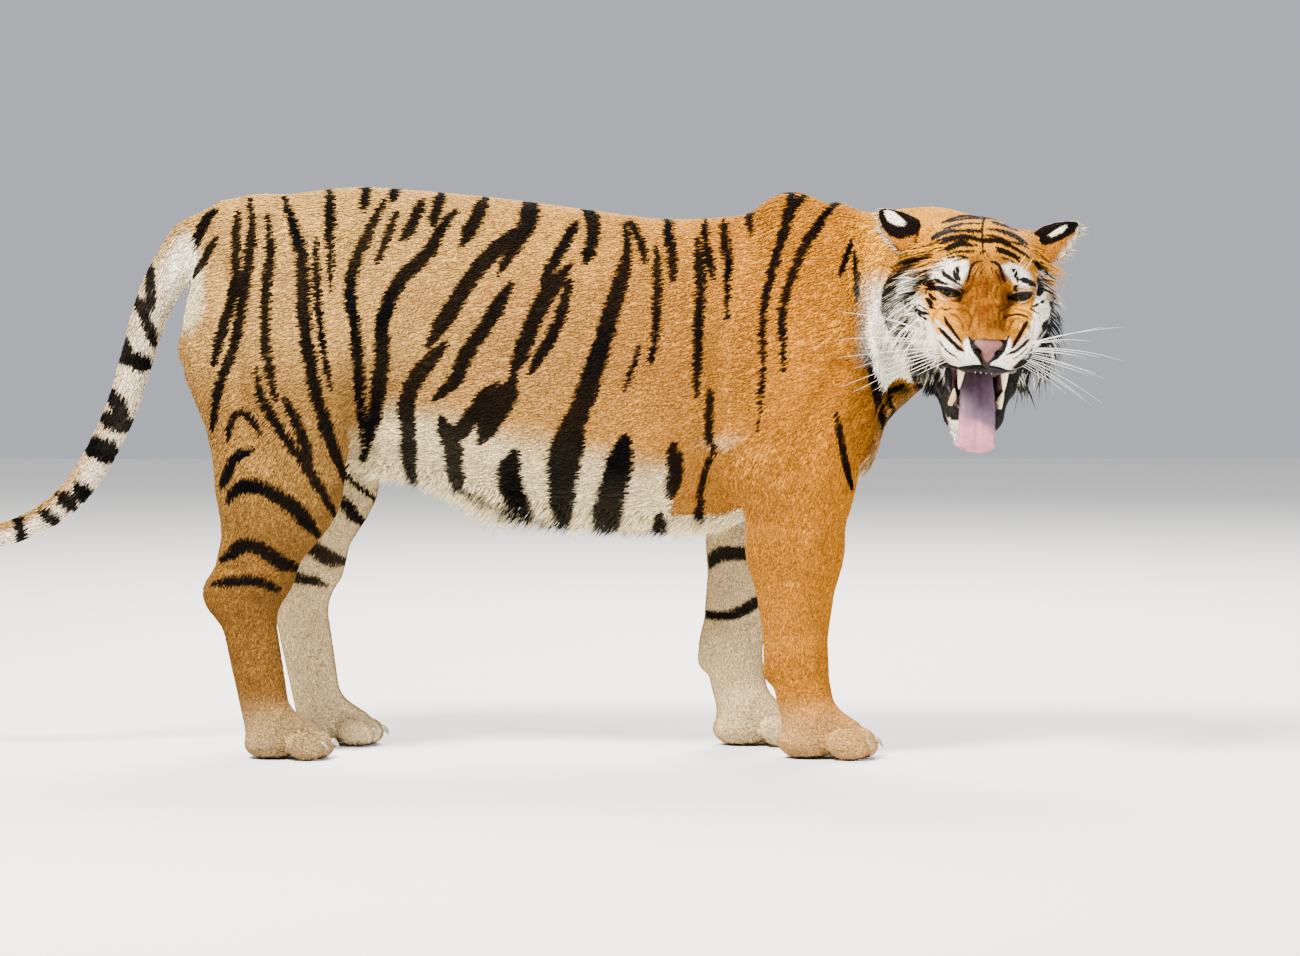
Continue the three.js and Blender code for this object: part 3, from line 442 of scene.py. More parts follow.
def from_bmesh(bm, name, material):
    """A finished object from a bmesh in millimetres of the body's frame."""
    bmesh.ops.recalc_face_normals(bm, faces=bm.faces)
    bm.transform(Matrix.Translation(Vector(SHIFT)) @ Matrix.Scale(0.001, 4))
    mesh = bpy.data.meshes.new(name)
    bm.to_mesh(mesh)
    bm.free()
    shade_smooth(mesh)
    mesh.materials.append(material)
    return new_object(name, mesh)


def points_of(mesh):
    p = np.empty(len(mesh.vertices) * 3)
    mesh.vertices.foreach_get("co", p)
    return millimetres(p.reshape(-1, 3))


def move_points(mesh, points):
    mesh.vertices.foreach_set("co", metres(points).ravel())
    mesh.update()


def normals_of(mesh):
    n = np.empty(len(mesh.vertices) * 3)
    mesh.vertex_normals.foreach_get("vector", n)
    return n.reshape(-1, 3)


def triangles_of(mesh):
    mesh.calc_loop_triangles()
    t = np.empty(len(mesh.loop_triangles) * 3, dtype=np.int32)
    mesh.loop_triangles.foreach_get("vertices", t)
    return t.reshape(-1, 3)


class Net:
    """Which points of a mesh are neighbours, to even values out over it."""

    def __init__(self, mesh):
        e = np.empty(len(mesh.edges) * 2, dtype=np.int32)
        mesh.edges.foreach_get("vertices", e)
        a, b = e.reshape(-1, 2).T
        self.a, self.b = np.concatenate((a, b)), np.concatenate((b, a))
        self.size = len(mesh.vertices)
        self.count = np.maximum(np.bincount(self.a, minlength=self.size), 1)

    def mean(self, values):
        v = values.reshape(self.size, -1)
        m = [np.bincount(self.a, v[self.b, k], self.size) / self.count for k in range(v.shape[1])]
        return np.stack(m, axis=1).reshape(values.shape)

    def even(self, values, rounds, share=0.5):
        for _ in range(rounds):
            values = values + share * (self.mean(values) - values)
        return values


def copy_of(nodes, name, voxel):
    """A new mesh over copies of solid nodes, remeshed at one voxel size in millimetres."""
    bm = bmesh.new()
    for node in nodes:
        part = bmesh.new()
        part.from_mesh(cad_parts[node].data)
        bmesh.ops.remove_doubles(part, verts=part.verts, dist=1e-6)
        scratch = bpy.data.meshes.new("scratch")
        part.to_mesh(scratch)
        part.free()
        bm.from_mesh(scratch)
        bpy.data.meshes.remove(scratch)
    mesh = bpy.data.meshes.new(name)
    bm.to_mesh(mesh)
    bm.free()
    obj = new_object(name, mesh)
    remesh = obj.modifiers.new("remesh", "REMESH")
    remesh.mode, remesh.voxel_size, remesh.adaptivity = "VOXEL", voxel / 1000, 0
    bpy.context.view_layer.update()
    made = bpy.data.meshes.new_from_object(obj.evaluated_get(bpy.context.evaluated_depsgraph_get()))
    obj.modifiers.clear()
    obj.data = made
    made.name = name
    return obj


def largest_piece(mesh):
    """Drops all but the largest connected piece."""
    net = Net(mesh)
    label = np.arange(net.size)
    while True:
        low = label.copy()
        np.minimum.at(low, net.a, label[net.b])
        low = low[low]
        if (low == label).all():
            break
        label = low
    keep = np.bincount(label).argmax()
    bm = bmesh.new()
    bm.from_mesh(mesh)
    bm.verts.ensure_lookup_table()
    drop = [bm.verts[i] for i in np.flatnonzero(label != keep)]
    bmesh.ops.delete(bm, geom=drop, context="VERTS")
    bm.to_mesh(mesh)
    bm.free()


def paint(mesh, name, colours):
    """Stores one colour for each point of a mesh."""
    layer = mesh.color_attributes.new(name, "FLOAT_COLOR", "POINT")
    rgba = np.column_stack((colours, np.ones(len(colours))))
    layer.data.foreach_set("color", rgba.ravel().astype(np.float32))


def store(mesh, name, values):
    layer = mesh.attributes.new(name, "FLOAT", "POINT")
    layer.data.foreach_set("value", np.asarray(values, dtype=np.float32))


def stored(mesh, name):
    values = np.empty(len(mesh.vertices), dtype=np.float32)
    mesh.attributes[name].data.foreach_get("value", values)
    return values


def shade_smooth(mesh):
    mesh.polygons.foreach_set("use_smooth", [True] * len(mesh.polygons))


# ---------------------------------------------------------------- markings
# The stripes are drawn on the upright plane of the spine, as seen from one place out to the animal's
# right: half width at the start and end of each stroke, then its course as (X, Z).

DRAWN_FROM = np.array((0.0, -11978.0, 1218.0))

# fmt: off
BODY_STRIPES = (
    (7, 8, (-430, 633), (-432, 557), (-420, 461)),
    (6, 7, (-369, 595), (-346, 555), (-339, 461)),
    (8, 11, (-243, 530), (-238, 469), (-215, 400)),
    (12, 12, (-126, 588), (-147, 481), (-162, 383)),
    (10, 12, (-48, 547), (-58, 469), (-76, 378)),
    (6, 8, (43, 532), (38, 451)),
    (4, 6, (-344, 469), (-291, 433), (-228, 405), (-137, 388)),
    (5, 5, (-81, 383), (-20, 378), (30, 383)),
    (4, 5, (109, 532), (91, 469), (89, 403)),
    (6.2, 6.2, (-834, 931), (-848, 888), (-866, 844)),
    (6.2, 6.2, (-768, 959), (-789, 933), (-809, 888)),
    (4.42, 4.42, (-768, 910), (-786, 874), (-809, 839)),
    (6.2, 6.2, (-727, 956), (-733, 906), (-733, 835), (-757, 747), (-773, 685)),
    (6.2, 6.2, (-706, 977), (-703, 924), (-716, 827), (-734, 729), (-764, 641), (-775, 570)),
    (6.2, 6.2, (-676, 950), (-671, 888), (-680, 800), (-679, 712), (-663, 623)),
    (7.96, 7.96, (-646, 980), (-632, 941), (-616, 880), (-613, 782), (-596, 659), (-566, 552), (-536, 473)),
    (4.42, 4.42, (-590, 910), (-588, 800), (-575, 694), (-564, 641)),
    (8.85, 2.66, (-565, 991), (-565, 906), (-564, 853), (-565, 814)),
    (7.08, 7.08, (-468, 977), (-491, 933), (-512, 888), (-530, 827), (-521, 747), (-513, 623), (-508, 552)),
    (6.2, 6.2, (-501, 1005), (-505, 959)),
    (6.2, 6.2, (-447, 1000), (-456, 977)),
    (5.31, 5.31, (-447, 956), (-463, 915), (-482, 867)),
    (7.08, 7.08, (-403, 977), (-420, 933), (-438, 906)),
    (7.08, 7.08, (-367, 991), (-385, 933)),
    (8.85, 8.85, (-344, 956), (-371, 924), (-389, 888), (-442, 835), (-472, 765), (-474, 712),
     (-486, 606), (-510, 517)),
    (9.73, 9.73, (-362, 721), (-389, 694), (-416, 659), (-430, 623), (-428, 552), (-425, 473)),
    (6.2, 6.2, (-698, 676), (-686, 623), (-637, 544), (-593, 481), (-558, 419)),
    (6.2, 6.2, (-649, 627), (-628, 588), (-598, 508)),
    (4.42, 4.42, (-747, 552), (-739, 588), (-725, 602), (-708, 591), (-690, 561)),
    (6.2, 6.2, (-703, 535), (-734, 520), (-758, 467)),
    (8.85, 8.85, (-747, 446), (-726, 467), (-699, 469), (-637, 437), (-588, 384)),
    (8.85, 8.85, (-758, 339), (-712, 366), (-655, 336), (-620, 322)),
    (6.2, 6.2, (-776, 295), (-709, 304), (-656, 286)),
    (8.85, 8.85, (-291, 980), (-309, 941), (-330, 901)),
    (9.73, 9.73, (-244, 920), (-274, 888), (-304, 857), (-353, 782), (-392, 721)),
    (14.2, 4.42, (-212, 980), (-215, 941), (-251, 874), (-270, 844)),
    (8.85, 8.85, (-247, 830), (-274, 782), (-301, 738), (-327, 703), (-345, 659), (-380, 627)),
    (7.96, 7.96, (-118, 968), (-102, 941), (-102, 906), (-115, 867)),
    (7.08, 7.08, (-129, 938), (-163, 880), (-194, 827)),
    (9.73, 9.73, (-141, 862), (-186, 804), (-216, 738), (-242, 667)),
    (7.08, 7.08, (-141, 835), (-164, 756), (-212, 673)),
    (12.4, 12.4, (-242, 659), (-256, 623), (-280, 588), (-301, 552)),
    (7.96, 15.9, (-44, 933), (-39, 888), (-62, 800), (-94, 694), (-124, 606), (-156, 535), (-168, 428)),
    (5.31, 5.31, (-35, 941), (-14, 897), (-9, 867)),
    (3.54, 3.54, (-18, 721), (-32, 676), (-44, 641)),
    (5.31, 5.31, (12, 897), (12, 818), (9, 729), (0, 690)),
    (7.96, 4.42, (30, 947), (39, 871), (41, 827)),
    (6.2, 6.2, (83, 906), (90, 818), (85, 747), (83, 632)),
    (5.31, 5.31, (97, 941), (99, 906), (111, 839)),
    (7.08, 2.66, (129, 941), (138, 853), (136, 765)),
    (5.31, 5.31, (173, 968), (177, 915)),
    (5.31, 5.31, (106, 641), (103, 570), (115, 526)),
    (5.31, 5.31, (256, 994), (235, 933)),
    (7.08, 2.66, (286, 994), (256, 968), (226, 888), (200, 782), (198, 676), (191, 570)),
    (7.08, 3.54, (335, 977), (309, 950), (261, 871), (235, 782), (237, 673)),
    (4.42, 4.42, (329, 597), (347, 508), (358, 464)),
    (3.54, 3.54, (357, 906), (336, 844)),
    (3.54, 3.54, (362, 888), (366, 800)),
    (10.6, 10.6, (-271, 650), (-301, 614), (-345, 552)),
    (10.6, 10.6, (-372, 588), (-354, 552), (-342, 464)),
    (14.2, 14.2, (-239, 526), (-251, 490), (-239, 446), (-221, 410)),
    (15.9, 15.9, (-44, 552), (-67, 464), (-92, 384)),
    (9.73, 9.73, (41, 544), (44, 499), (35, 455)),
    (8.85, 8.85, (18, 419), (14, 375)),
    (5.31, 5.31, (89, 437), (83, 410)),
    (5.0, 5.0, (378, 724), (390, 688), (398, 647), (408, 601), (416, 560)),
    (4.0, 2.5, (411, 678), (421, 637), (429, 601)),
    (3.5, 3.5, (402, 640), (424, 640), (446, 648)),
)
TAIL_BANDS = (
    (12.4, 12.4, (-949, 708), (-884, 683)),
    (10.6, 10.6, (-964, 641), (-929, 602)),
    (13.3, 13.3, (-973, 591), (-915, 579)),
    (15.9, 15.9, (-1000, 544), (-941, 526)),
    (12.4, 12.4, (-1018, 473), (-991, 446)),
    (12.4, 12.4, (-1048, 455), (-1018, 432)),
    (8.85, 8.85, (-1080, 428), (-1045, 402)),
    (7.08, 7.08, (-883, 862), (-884, 779)),
    (7.96, 7.96, (-910, 809), (-875, 721)),
    (7.08, 7.08, (-937, 738), (-911, 685)),
    (8.0, 8.0, (-1122, 424), (-1110, 360)),
    (8.0, 8.0, (-1176, 410), (-1166, 348)),
    (9.0, 9.0, (-1232, 404), (-1230, 342)),
    (10.0, 10.0, (-1286, 410), (-1294, 350)),
    (10.0, 10.0, (-1330, 432), (-1346, 372)),
)
FACE_STRIPES = (
    (1.54, 1.54, (519, 938), (540, 942), (566, 945), (589, 945)),
    (1.28, 1.28, (589, 945), (607, 945), (620, 940)),
    (1.8, 1.8, (494, 911), (520, 922), (553, 924), (587, 924)),
    (1.8, 1.8, (592, 926), (615, 924), (633, 917), (651, 907), (669, 898)),
    (1.54, 1.54, (492, 894), (515, 908), (540, 914), (574, 915)),
    (1.8, 1.8, (592, 916), (612, 912), (630, 905), (656, 899), (669, 892)),
    (1.54, 3.34, (515, 887), (530, 897), (548, 902), (561, 903)),
    (3.34, 3.34, (574, 908), (592, 906), (607, 903)),
    (2.82, 1.8, (620, 901), (643, 893), (658, 884), (666, 879)),
    (1.03, 2.31, (515, 874), (535, 884), (556, 887), (574, 887)),
    (2.57, 1.54, (612, 887), (630, 883), (646, 875), (656, 866)),
    (1.16, 1.16, (533, 867), (546, 873), (561, 875)),
    (1.28, 1.28, (620, 876), (633, 873), (646, 866)),
    (2.05, 1.03, (595, 957), (588, 935), (588, 910), (588, 892), (592, 874)),
    (1.03, 1.03, (588, 892), (582, 879)),
    (1.03, 1.03, (592, 889), (597, 876)),
    (1.67, 1.67, (588, 870), (574, 866), (566, 856), (564, 843), (559, 830)),
    (0.77, 0.77, (582, 858), (574, 846), (570, 833)),
    (0.642, 0.642, (589, 856), (583, 842)),
    (1.93, 1.93, (601, 869), (615, 864), (620, 853), (625, 838), (629, 830)),
    (0.77, 0.77, (607, 856), (615, 843), (620, 828)),
    (0.642, 0.642, (602, 858), (607, 848)),
    (3.08, 1.28, (541, 858), (538, 848), (542, 833)),
    (2.05, 2.05, (515, 853), (523, 846), (536, 838)),
    (1.8, 1.8, (505, 838), (515, 833)),
    (1.8, 2.57, (644, 856), (648, 846), (650, 833)),
    (2.82, 2.82, (659, 838), (669, 835), (682, 825)),
    (4.36, 4.36, (489, 852), (487, 843), (492, 833), (500, 825)),
    (1.28, 1.28, (500, 821), (489, 819), (487, 810)),
    (2.57, 2.57, (687, 838), (691, 823), (687, 812)),
    (2.57, 2.57, (676, 871), (689, 858), (705, 841), (715, 833)),
    (2.57, 5.13, (494, 879), (474, 865), (451, 856), (438, 843), (428, 823), (423, 800), (418, 782),
     (420, 758)),
    (4.36, 2.05, (474, 830), (461, 817), (455, 800), (454, 782)),
    (1.8, 1.8, (468, 789), (470, 779)),
    (1.8, 1.8, (482, 771), (490, 766)),
    (3.59, 3.59, (438, 753), (435, 733), (438, 717)),
    (1.54, 1.54, (487, 805), (500, 797)),
    (1.28, 1.28, (492, 789), (500, 784)),
    (2.31, 2.31, (710, 794), (713, 784)),
    (3.59, 3.59, (702, 764), (695, 748)),
    (4.88, 4.88, (720, 769), (723, 743), (718, 725)),
    (3.6, 2.6, (545, 860), (542, 848), (547, 835)),
    (3.0, 2.0, (516, 855), (521, 845), (530, 839), (541, 832), (550, 825)),
    (2.6, 2.0, (502, 838), (516, 831), (527, 828)),
    (4.4, 3.6, (487, 852), (484, 838), (490, 824), (498, 818)),
    (2.6, 2.0, (641, 855), (646, 848), (644, 840)),
    (4.4, 3.4, (655, 837), (669, 833), (677, 825)),
    (4.0, 3.6, (687, 839), (691, 823), (685, 810)),
    (2.6, 1.8, (651, 828), (645, 822), (649, 815)),
    (3.0, 2.4, (493, 812), (500, 804), (506, 801)),
    (6.6, 8.2, (448, 848), (433, 828), (425, 806), (426, 784)),
    (5.4, 6.6, (477, 832), (464, 818), (454, 798)),
    (3.0, 3.4, (493, 880), (467, 865), (447, 849)),
    (2.8, 2.4, (466, 786), (477, 779), (492, 776)),
    (3.6, 3.0, (430, 770), (425, 754), (428, 736)),
    (3.0, 2.6, (454, 770), (448, 749), (454, 728)),
    (5.0, 4.0, (709, 801), (715, 786), (711, 770)),
    (3.6, 3.2, (702, 832), (709, 817), (711, 801)),
)

HEAD_BANDS = (
    (2.2, 1.4, (450, 944), (474, 957), (505, 963), (536, 960)),
    (2.2, 1.4, (515, 937), (546, 948), (583, 949), (598, 946)),
    (2.4, 1.6, (518, 926), (552, 935), (588, 936)),
    (3.2, 2.0, (497, 906), (515, 918), (546, 923), (588, 920)),
    (4.0, 3.0, (513, 900), (536, 909), (567, 910), (591, 905)),
    (3.6, 2.2, (601, 909), (630, 900), (661, 882), (671, 874)),
    (2.6, 1.6, (601, 926), (630, 921), (656, 909), (667, 900)),
    (2.4, 1.6, (604, 939), (630, 931), (650, 923)),
    (4.0, 2.4, (523, 887), (547, 899), (578, 897)),
    (3.2, 1.6, (609, 894), (630, 887), (656, 874)),
    (2.4, 1.4, (526, 874), (547, 879), (562, 875)),
    (4.5, 3.0, (489, 851), (485, 838), (492, 830)),
    (3.5, 2.5, (492, 825), (500, 822), (506, 817)),
    (4.0, 3.0, (682, 869), (696, 851), (710, 835)),
    (2.4, 1.6, (692, 853), (705, 847)),
    (6.0, 8.5, (483, 874), (454, 858), (436, 847), (425, 830), (418, 809), (417, 786), (425, 754)),
    (7.0, 3.0, (474, 830), (461, 819), (454, 801), (457, 786)),
    (3.0, 2.0, (427, 858), (453, 869), (489, 874), (501, 882)),
    (3.0, 3.0, (692, 838), (693, 817), (688, 809)),
    (7.0, 7.0, (721, 770), (723, 749), (719, 728)),
    (4.5, 3.0, (705, 749), (708, 734), (704, 718)),
    (3.0, 2.0, (490, 801), (497, 791), (500, 786)),
    (2.5, 2.0, (466, 793), (474, 780), (480, 770)),
)

# The rows of whisker spots and the rims of the nose, with painted shade in the creases of the wrinkles;
# then the pale bands between them.
MUZZLE_DARK = (
    (3.19, 2.61, (520, 771), (525, 760), (533, 750), (542, 737), (553, 724)),
    (3.77, 3.19, (511, 751), (521, 740), (534, 727), (544, 717), (556, 709)),
    (1.74, 1.45, (510, 731), (520, 716), (533, 705), (548, 695)),
    (3.77, 2.9, (667, 762), (658, 747), (650, 732), (640, 715)),
    (3.19, 2.32, (671, 731), (658, 719), (646, 710), (631, 704)),
    (1.0, 1.0, (669, 717), (655, 704), (640, 696)),
    (2.4, 3.0, (564, 735), (569, 719), (577, 704), (588, 691)),
    (2.4, 3.0, (634, 737), (629, 722), (620, 705), (602, 691)),
    (3.6, 4.6, (589, 695), (592, 688), (592, 681)),
    (1.6, 1.6, (621, 764), (630, 771), (645, 775), (660, 774), (673, 766)),
    (1.2, 1.0, (620, 781), (630, 787), (643, 794)),
    (2.6, 2.0, (486, 803), (493, 799), (502, 792)),
    (2.0, 1.4, (497, 787), (506, 784)),
    (1.4, 1.0, (514, 787), (522, 784), (534, 787)),
    (1.8, 1.2, (473, 793), (481, 788), (489, 782)),
    (2.4, 1.8, (688, 794), (680, 790), (673, 790)),
    (2.6, 2.0, (697, 800), (690, 795)),
    (1.6, 1.2, (670, 787), (683, 779), (689, 777)),
)
MUZZLE_PALE = (
    (3.4, 3.0, (505, 766), (518, 752), (534, 737), (549, 721)),
    (2.6, 2.6, (504, 765), (504, 747), (510, 729)),
    (3.0, 3.0, (675, 764), (674, 745), (666, 730), (646, 714)),
    (2.6, 3.0, (670, 748), (656, 727), (641, 710)),
    (2.0, 1.4, (506, 816), (513, 806), (522, 802), (536, 804)),
    (2.0, 1.6, (506, 827), (519, 826), (534, 821), (549, 816)),
    (2.0, 1.4, (646, 801), (655, 797), (668, 801), (677, 811)),
    (2.2, 1.8, (640, 813), (653, 816), (668, 819), (678, 817)),
)

# Painted shade in the creases of the snarl's soft wrinkles, over the bridge and the muzzle.
FACE_SHADES = (
    (2.6, 1.6, (541, 785), (557, 782), (567, 772), (567, 757), (562, 747)),
    (2.0, 1.4, (620, 787), (617, 772), (620, 757), (626, 742)),
    (1.4, 1.0, (582, 777), (581, 762), (583, 750)),
    (1.4, 1.0, (597, 772), (598, 757), (597, 745)),
    (1.6, 1.0, (610, 777), (611, 762), (610, 750)),
    (2.4, 1.6, (544, 800), (557, 794), (567, 790)),
    (2.4, 1.6, (630, 793), (620, 790), (612, 787)),
    (2.0, 1.4, (531, 777), (544, 770), (552, 757), (554, 745)),
    (2.0, 1.4, (645, 767), (637, 757), (633, 745)),
    (2.0, 2.0, (574, 828), (579, 813), (577, 800)),
    (2.0, 2.0, (615, 825), (610, 813), (613, 800)),
    (2.0, 2.0, (594, 838), (596, 818), (595, 803)),
)

# Places of the head in one colour, as outlines on the drawing: the white of the brows, cheeks and muzzle,
# the dark lips and corners of the mouth, the throat's dark fur under painted shade, and the marks on the
# backs of the ears.
FACE_AREAS = {
    "brow right": (
        (500, 856), (515, 871), (535, 874), (561, 869), (561, 853), (553, 838), (548, 823), (530, 823),
        (510, 828), (497, 841),
    ),
    "brow left": (
        (623, 861), (638, 866), (656, 858), (671, 848), (676, 835), (679, 825), (661, 823), (646, 828),
        (638, 838), (630, 848),
    ),
    "cheek right": (
        (466, 867), (451, 846), (435, 814), (414, 786), (382, 761), (368, 721), (375, 666), (407, 637),
        (463, 644), (506, 673), (509, 721), (495, 765), (479, 800), (472, 828),
    ),
    "cheek left": (
        (689, 857), (703, 818), (700, 800), (725, 800), (756, 765), (757, 712), (732, 673), (700, 637),
        (661, 659), (658, 708), (672, 744), (679, 779), (682, 807),
    ),
    "lip right": (
        (499, 712), (502, 690), (504, 666), (511, 641), (516, 614), (525, 593), (536, 586), (550, 588),
        (555, 623), (559, 673), (530, 694),
    ),
    "lip left": (
        (613, 671), (637, 680), (644, 671), (642, 635), (634, 598), (625, 570), (610, 566), (599, 588),
        (599, 659),
    ),
    "corner right": (
        (460, 720), (498, 697), (516, 671), (518, 635), (524, 598), (533, 570), (518, 569), (498, 585),
        (475, 619), (463, 661), (452, 692),
    ),
    "corner left": (
        (633, 671), (651, 692), (677, 718), (690, 743), (709, 777), (737, 770), (745, 739), (739, 697),
        (724, 656), (698, 603), (657, 588), (634, 572), (613, 562), (613, 666),
    ),
    "muzzle right": (
        (505, 734), (516, 704), (529, 688), (552, 675), (580, 671), (591, 671), (584, 699), (576, 713),
        (569, 729), (562, 734), (554, 727), (556, 712), (544, 711), (529, 726), (515, 743),
    ),
    "muzzle left": (
        (677, 730), (668, 704), (650, 686), (630, 674), (605, 671), (594, 671), (608, 701), (620, 712),
        (629, 730), (634, 734), (639, 727), (638, 714), (646, 713), (661, 724), (672, 736),
    ),
    "nose dark": (
        (563, 738), (571, 730), (630, 730), (636, 740), (632, 722), (621, 704), (601, 687), (596, 676),
        (589, 676), (584, 689), (574, 704), (567, 719),
    ),
    "ear left pale": (
        (762, 942), (759, 903), (730, 860), (707, 860), (726, 886), (746, 913), (753, 934),
    ),
    "ear right pale": (
        (396, 936), (407, 923), (425, 903), (441, 882), (420, 886), (401, 910), (391, 931),
    ),
    "throat": (
        (381, 697), (422, 666), (474, 656), (490, 645), (480, 619), (449, 583), (423, 562), (402, 530),
        (391, 489), (376, 478), (381, 530), (396, 583), (389, 635),
    ),
    "ear right black": (
        (391, 985), (409, 990), (429, 985), (462, 962), (489, 938), (487, 915), (466, 912), (443, 906),
        (427, 911), (411, 926), (400, 944), (392, 962),
    ),
    "ear right spot": (
        (415, 957), (424, 959), (436, 953), (454, 937), (450, 930), (435, 931), (421, 940),
    ),
    "ear left black": (
        (665, 902), (680, 920), (708, 944), (753, 962), (762, 946), (750, 921), (728, 907), (705, 897),
        (684, 895),
    ),
    "ear left spot": (
        (701, 914), (713, 923), (733, 933), (736, 928), (726, 918), (709, 911),
    ),
}
# fmt: on


def drawn(p):
    """Where points of the body fall on the drawing."""
    share = -DRAWN_FROM[1] / (p[:, 1] - DRAWN_FROM[1])
    return np.stack((p[:, 0] * share, DRAWN_FROM[2] + (p[:, 2] - DRAWN_FROM[2]) * share), axis=1)


def stroked(q, strokes, grow=1.0):
    """How dark each place of the drawing is under the strokes, from 0 to 1."""
    dark = np.zeros(len(q))
    for first, last, *course in strokes:
        line = smooth_line(course, 3 * len(course))
        share = np.linspace(0, 1, len(line))
        ends = 0.45 + 0.55 * np.minimum(1, 6 * np.minimum(share, 1 - share))
        width = (first + (last - first) * share) * grow * ends
        reach = 2 * max(first, last) * grow
        low, high = line.min(axis=0) - reach, line.max(axis=0) + reach
        close = np.flatnonzero(((q > low) & (q < high)).all(axis=1))
        if len(close):
            away, wide = near_line(q[close], line, width)
            dark[close] = np.maximum(dark[close], 1 - ramp(away / wide, 0.7, 1.3))
    return dark


def area(q, name, soft=5.0):
    """How far inside one of the drawing's outlines each place is, softened by that many millimetres."""
    outline = np.array(FACE_AREAS[name], dtype=float)
    amount = np.zeros(len(q))
    close = ((q > outline.min(axis=0) - soft) & (q < outline.max(axis=0) + soft)).all(axis=1)
    if close.any():
        away = near_line(q[close], outline, closed=True) * np.where(inside(q[close], outline), 1, -1)
        amount[close] = ramp(away, -soft, soft)
    return amount


BELLY_EDGE = np.array(
    ((-900, 600), (-700, 560), (-504, 552), (-469, 597), (-407, 614), (-354, 588), (-301, 567), (-230, 552),
     (-159, 544), (-88, 526), (53, 508), (124, 535), (180, 545), (400, 420))
)  # fmt: skip
INNER_BARS = ((348, 15), (262, 9), (430, 10))  # inside the forelegs: height, half width
CHEEK_BARS = ((-70, 8), (-112, 9))
NAPE_BARS = ((-228, 7), (-262, 9), (-300, 8))
HEAD, TRUNK_PART, RIGHT_LEG, LEFT_FORELEG, LEFT_HINDLEG, TAIL, EAR = range(7)
COATS = ("head", "trunk", "right_legs", "left_foreleg", "left_hindleg", "tail")  # for the first six


def on_legs(part):
    return (part == RIGHT_LEG) | (part == LEFT_FORELEG) | (part == LEFT_HINDLEG)


def on_jaw(h):
    """How far points of the head's frame belong to the lower jaw, beside its lip."""
    closed = (h - JAW_HINGE) @ JAW_TURN + JAW_HINGE
    return ramp(closed[:, 2], -84, -94) * ramp(closed[:, 0], -60, -40)


def mix(a, b, share):
    """From a to b by a share for each point; a and b are colours, or one for each point."""
    a, b = np.asarray(a), np.asarray(b)
    return a + (b - a) * share[:, None]


def as_right(p, part):
    """The places on the right side that match those on the left, whose legs stand otherwise."""
    step = np.where(part == LEFT_FORELEG, 112, np.where(part == LEFT_HINDLEG, -78, 0))
    moved = np.stack((p[:, 0] + step * ramp(p[:, 2], 560, 420), -np.abs(p[:, 1]), p[:, 2]), axis=1)
    moved[part == TAIL] = p[part == TAIL]
    return moved


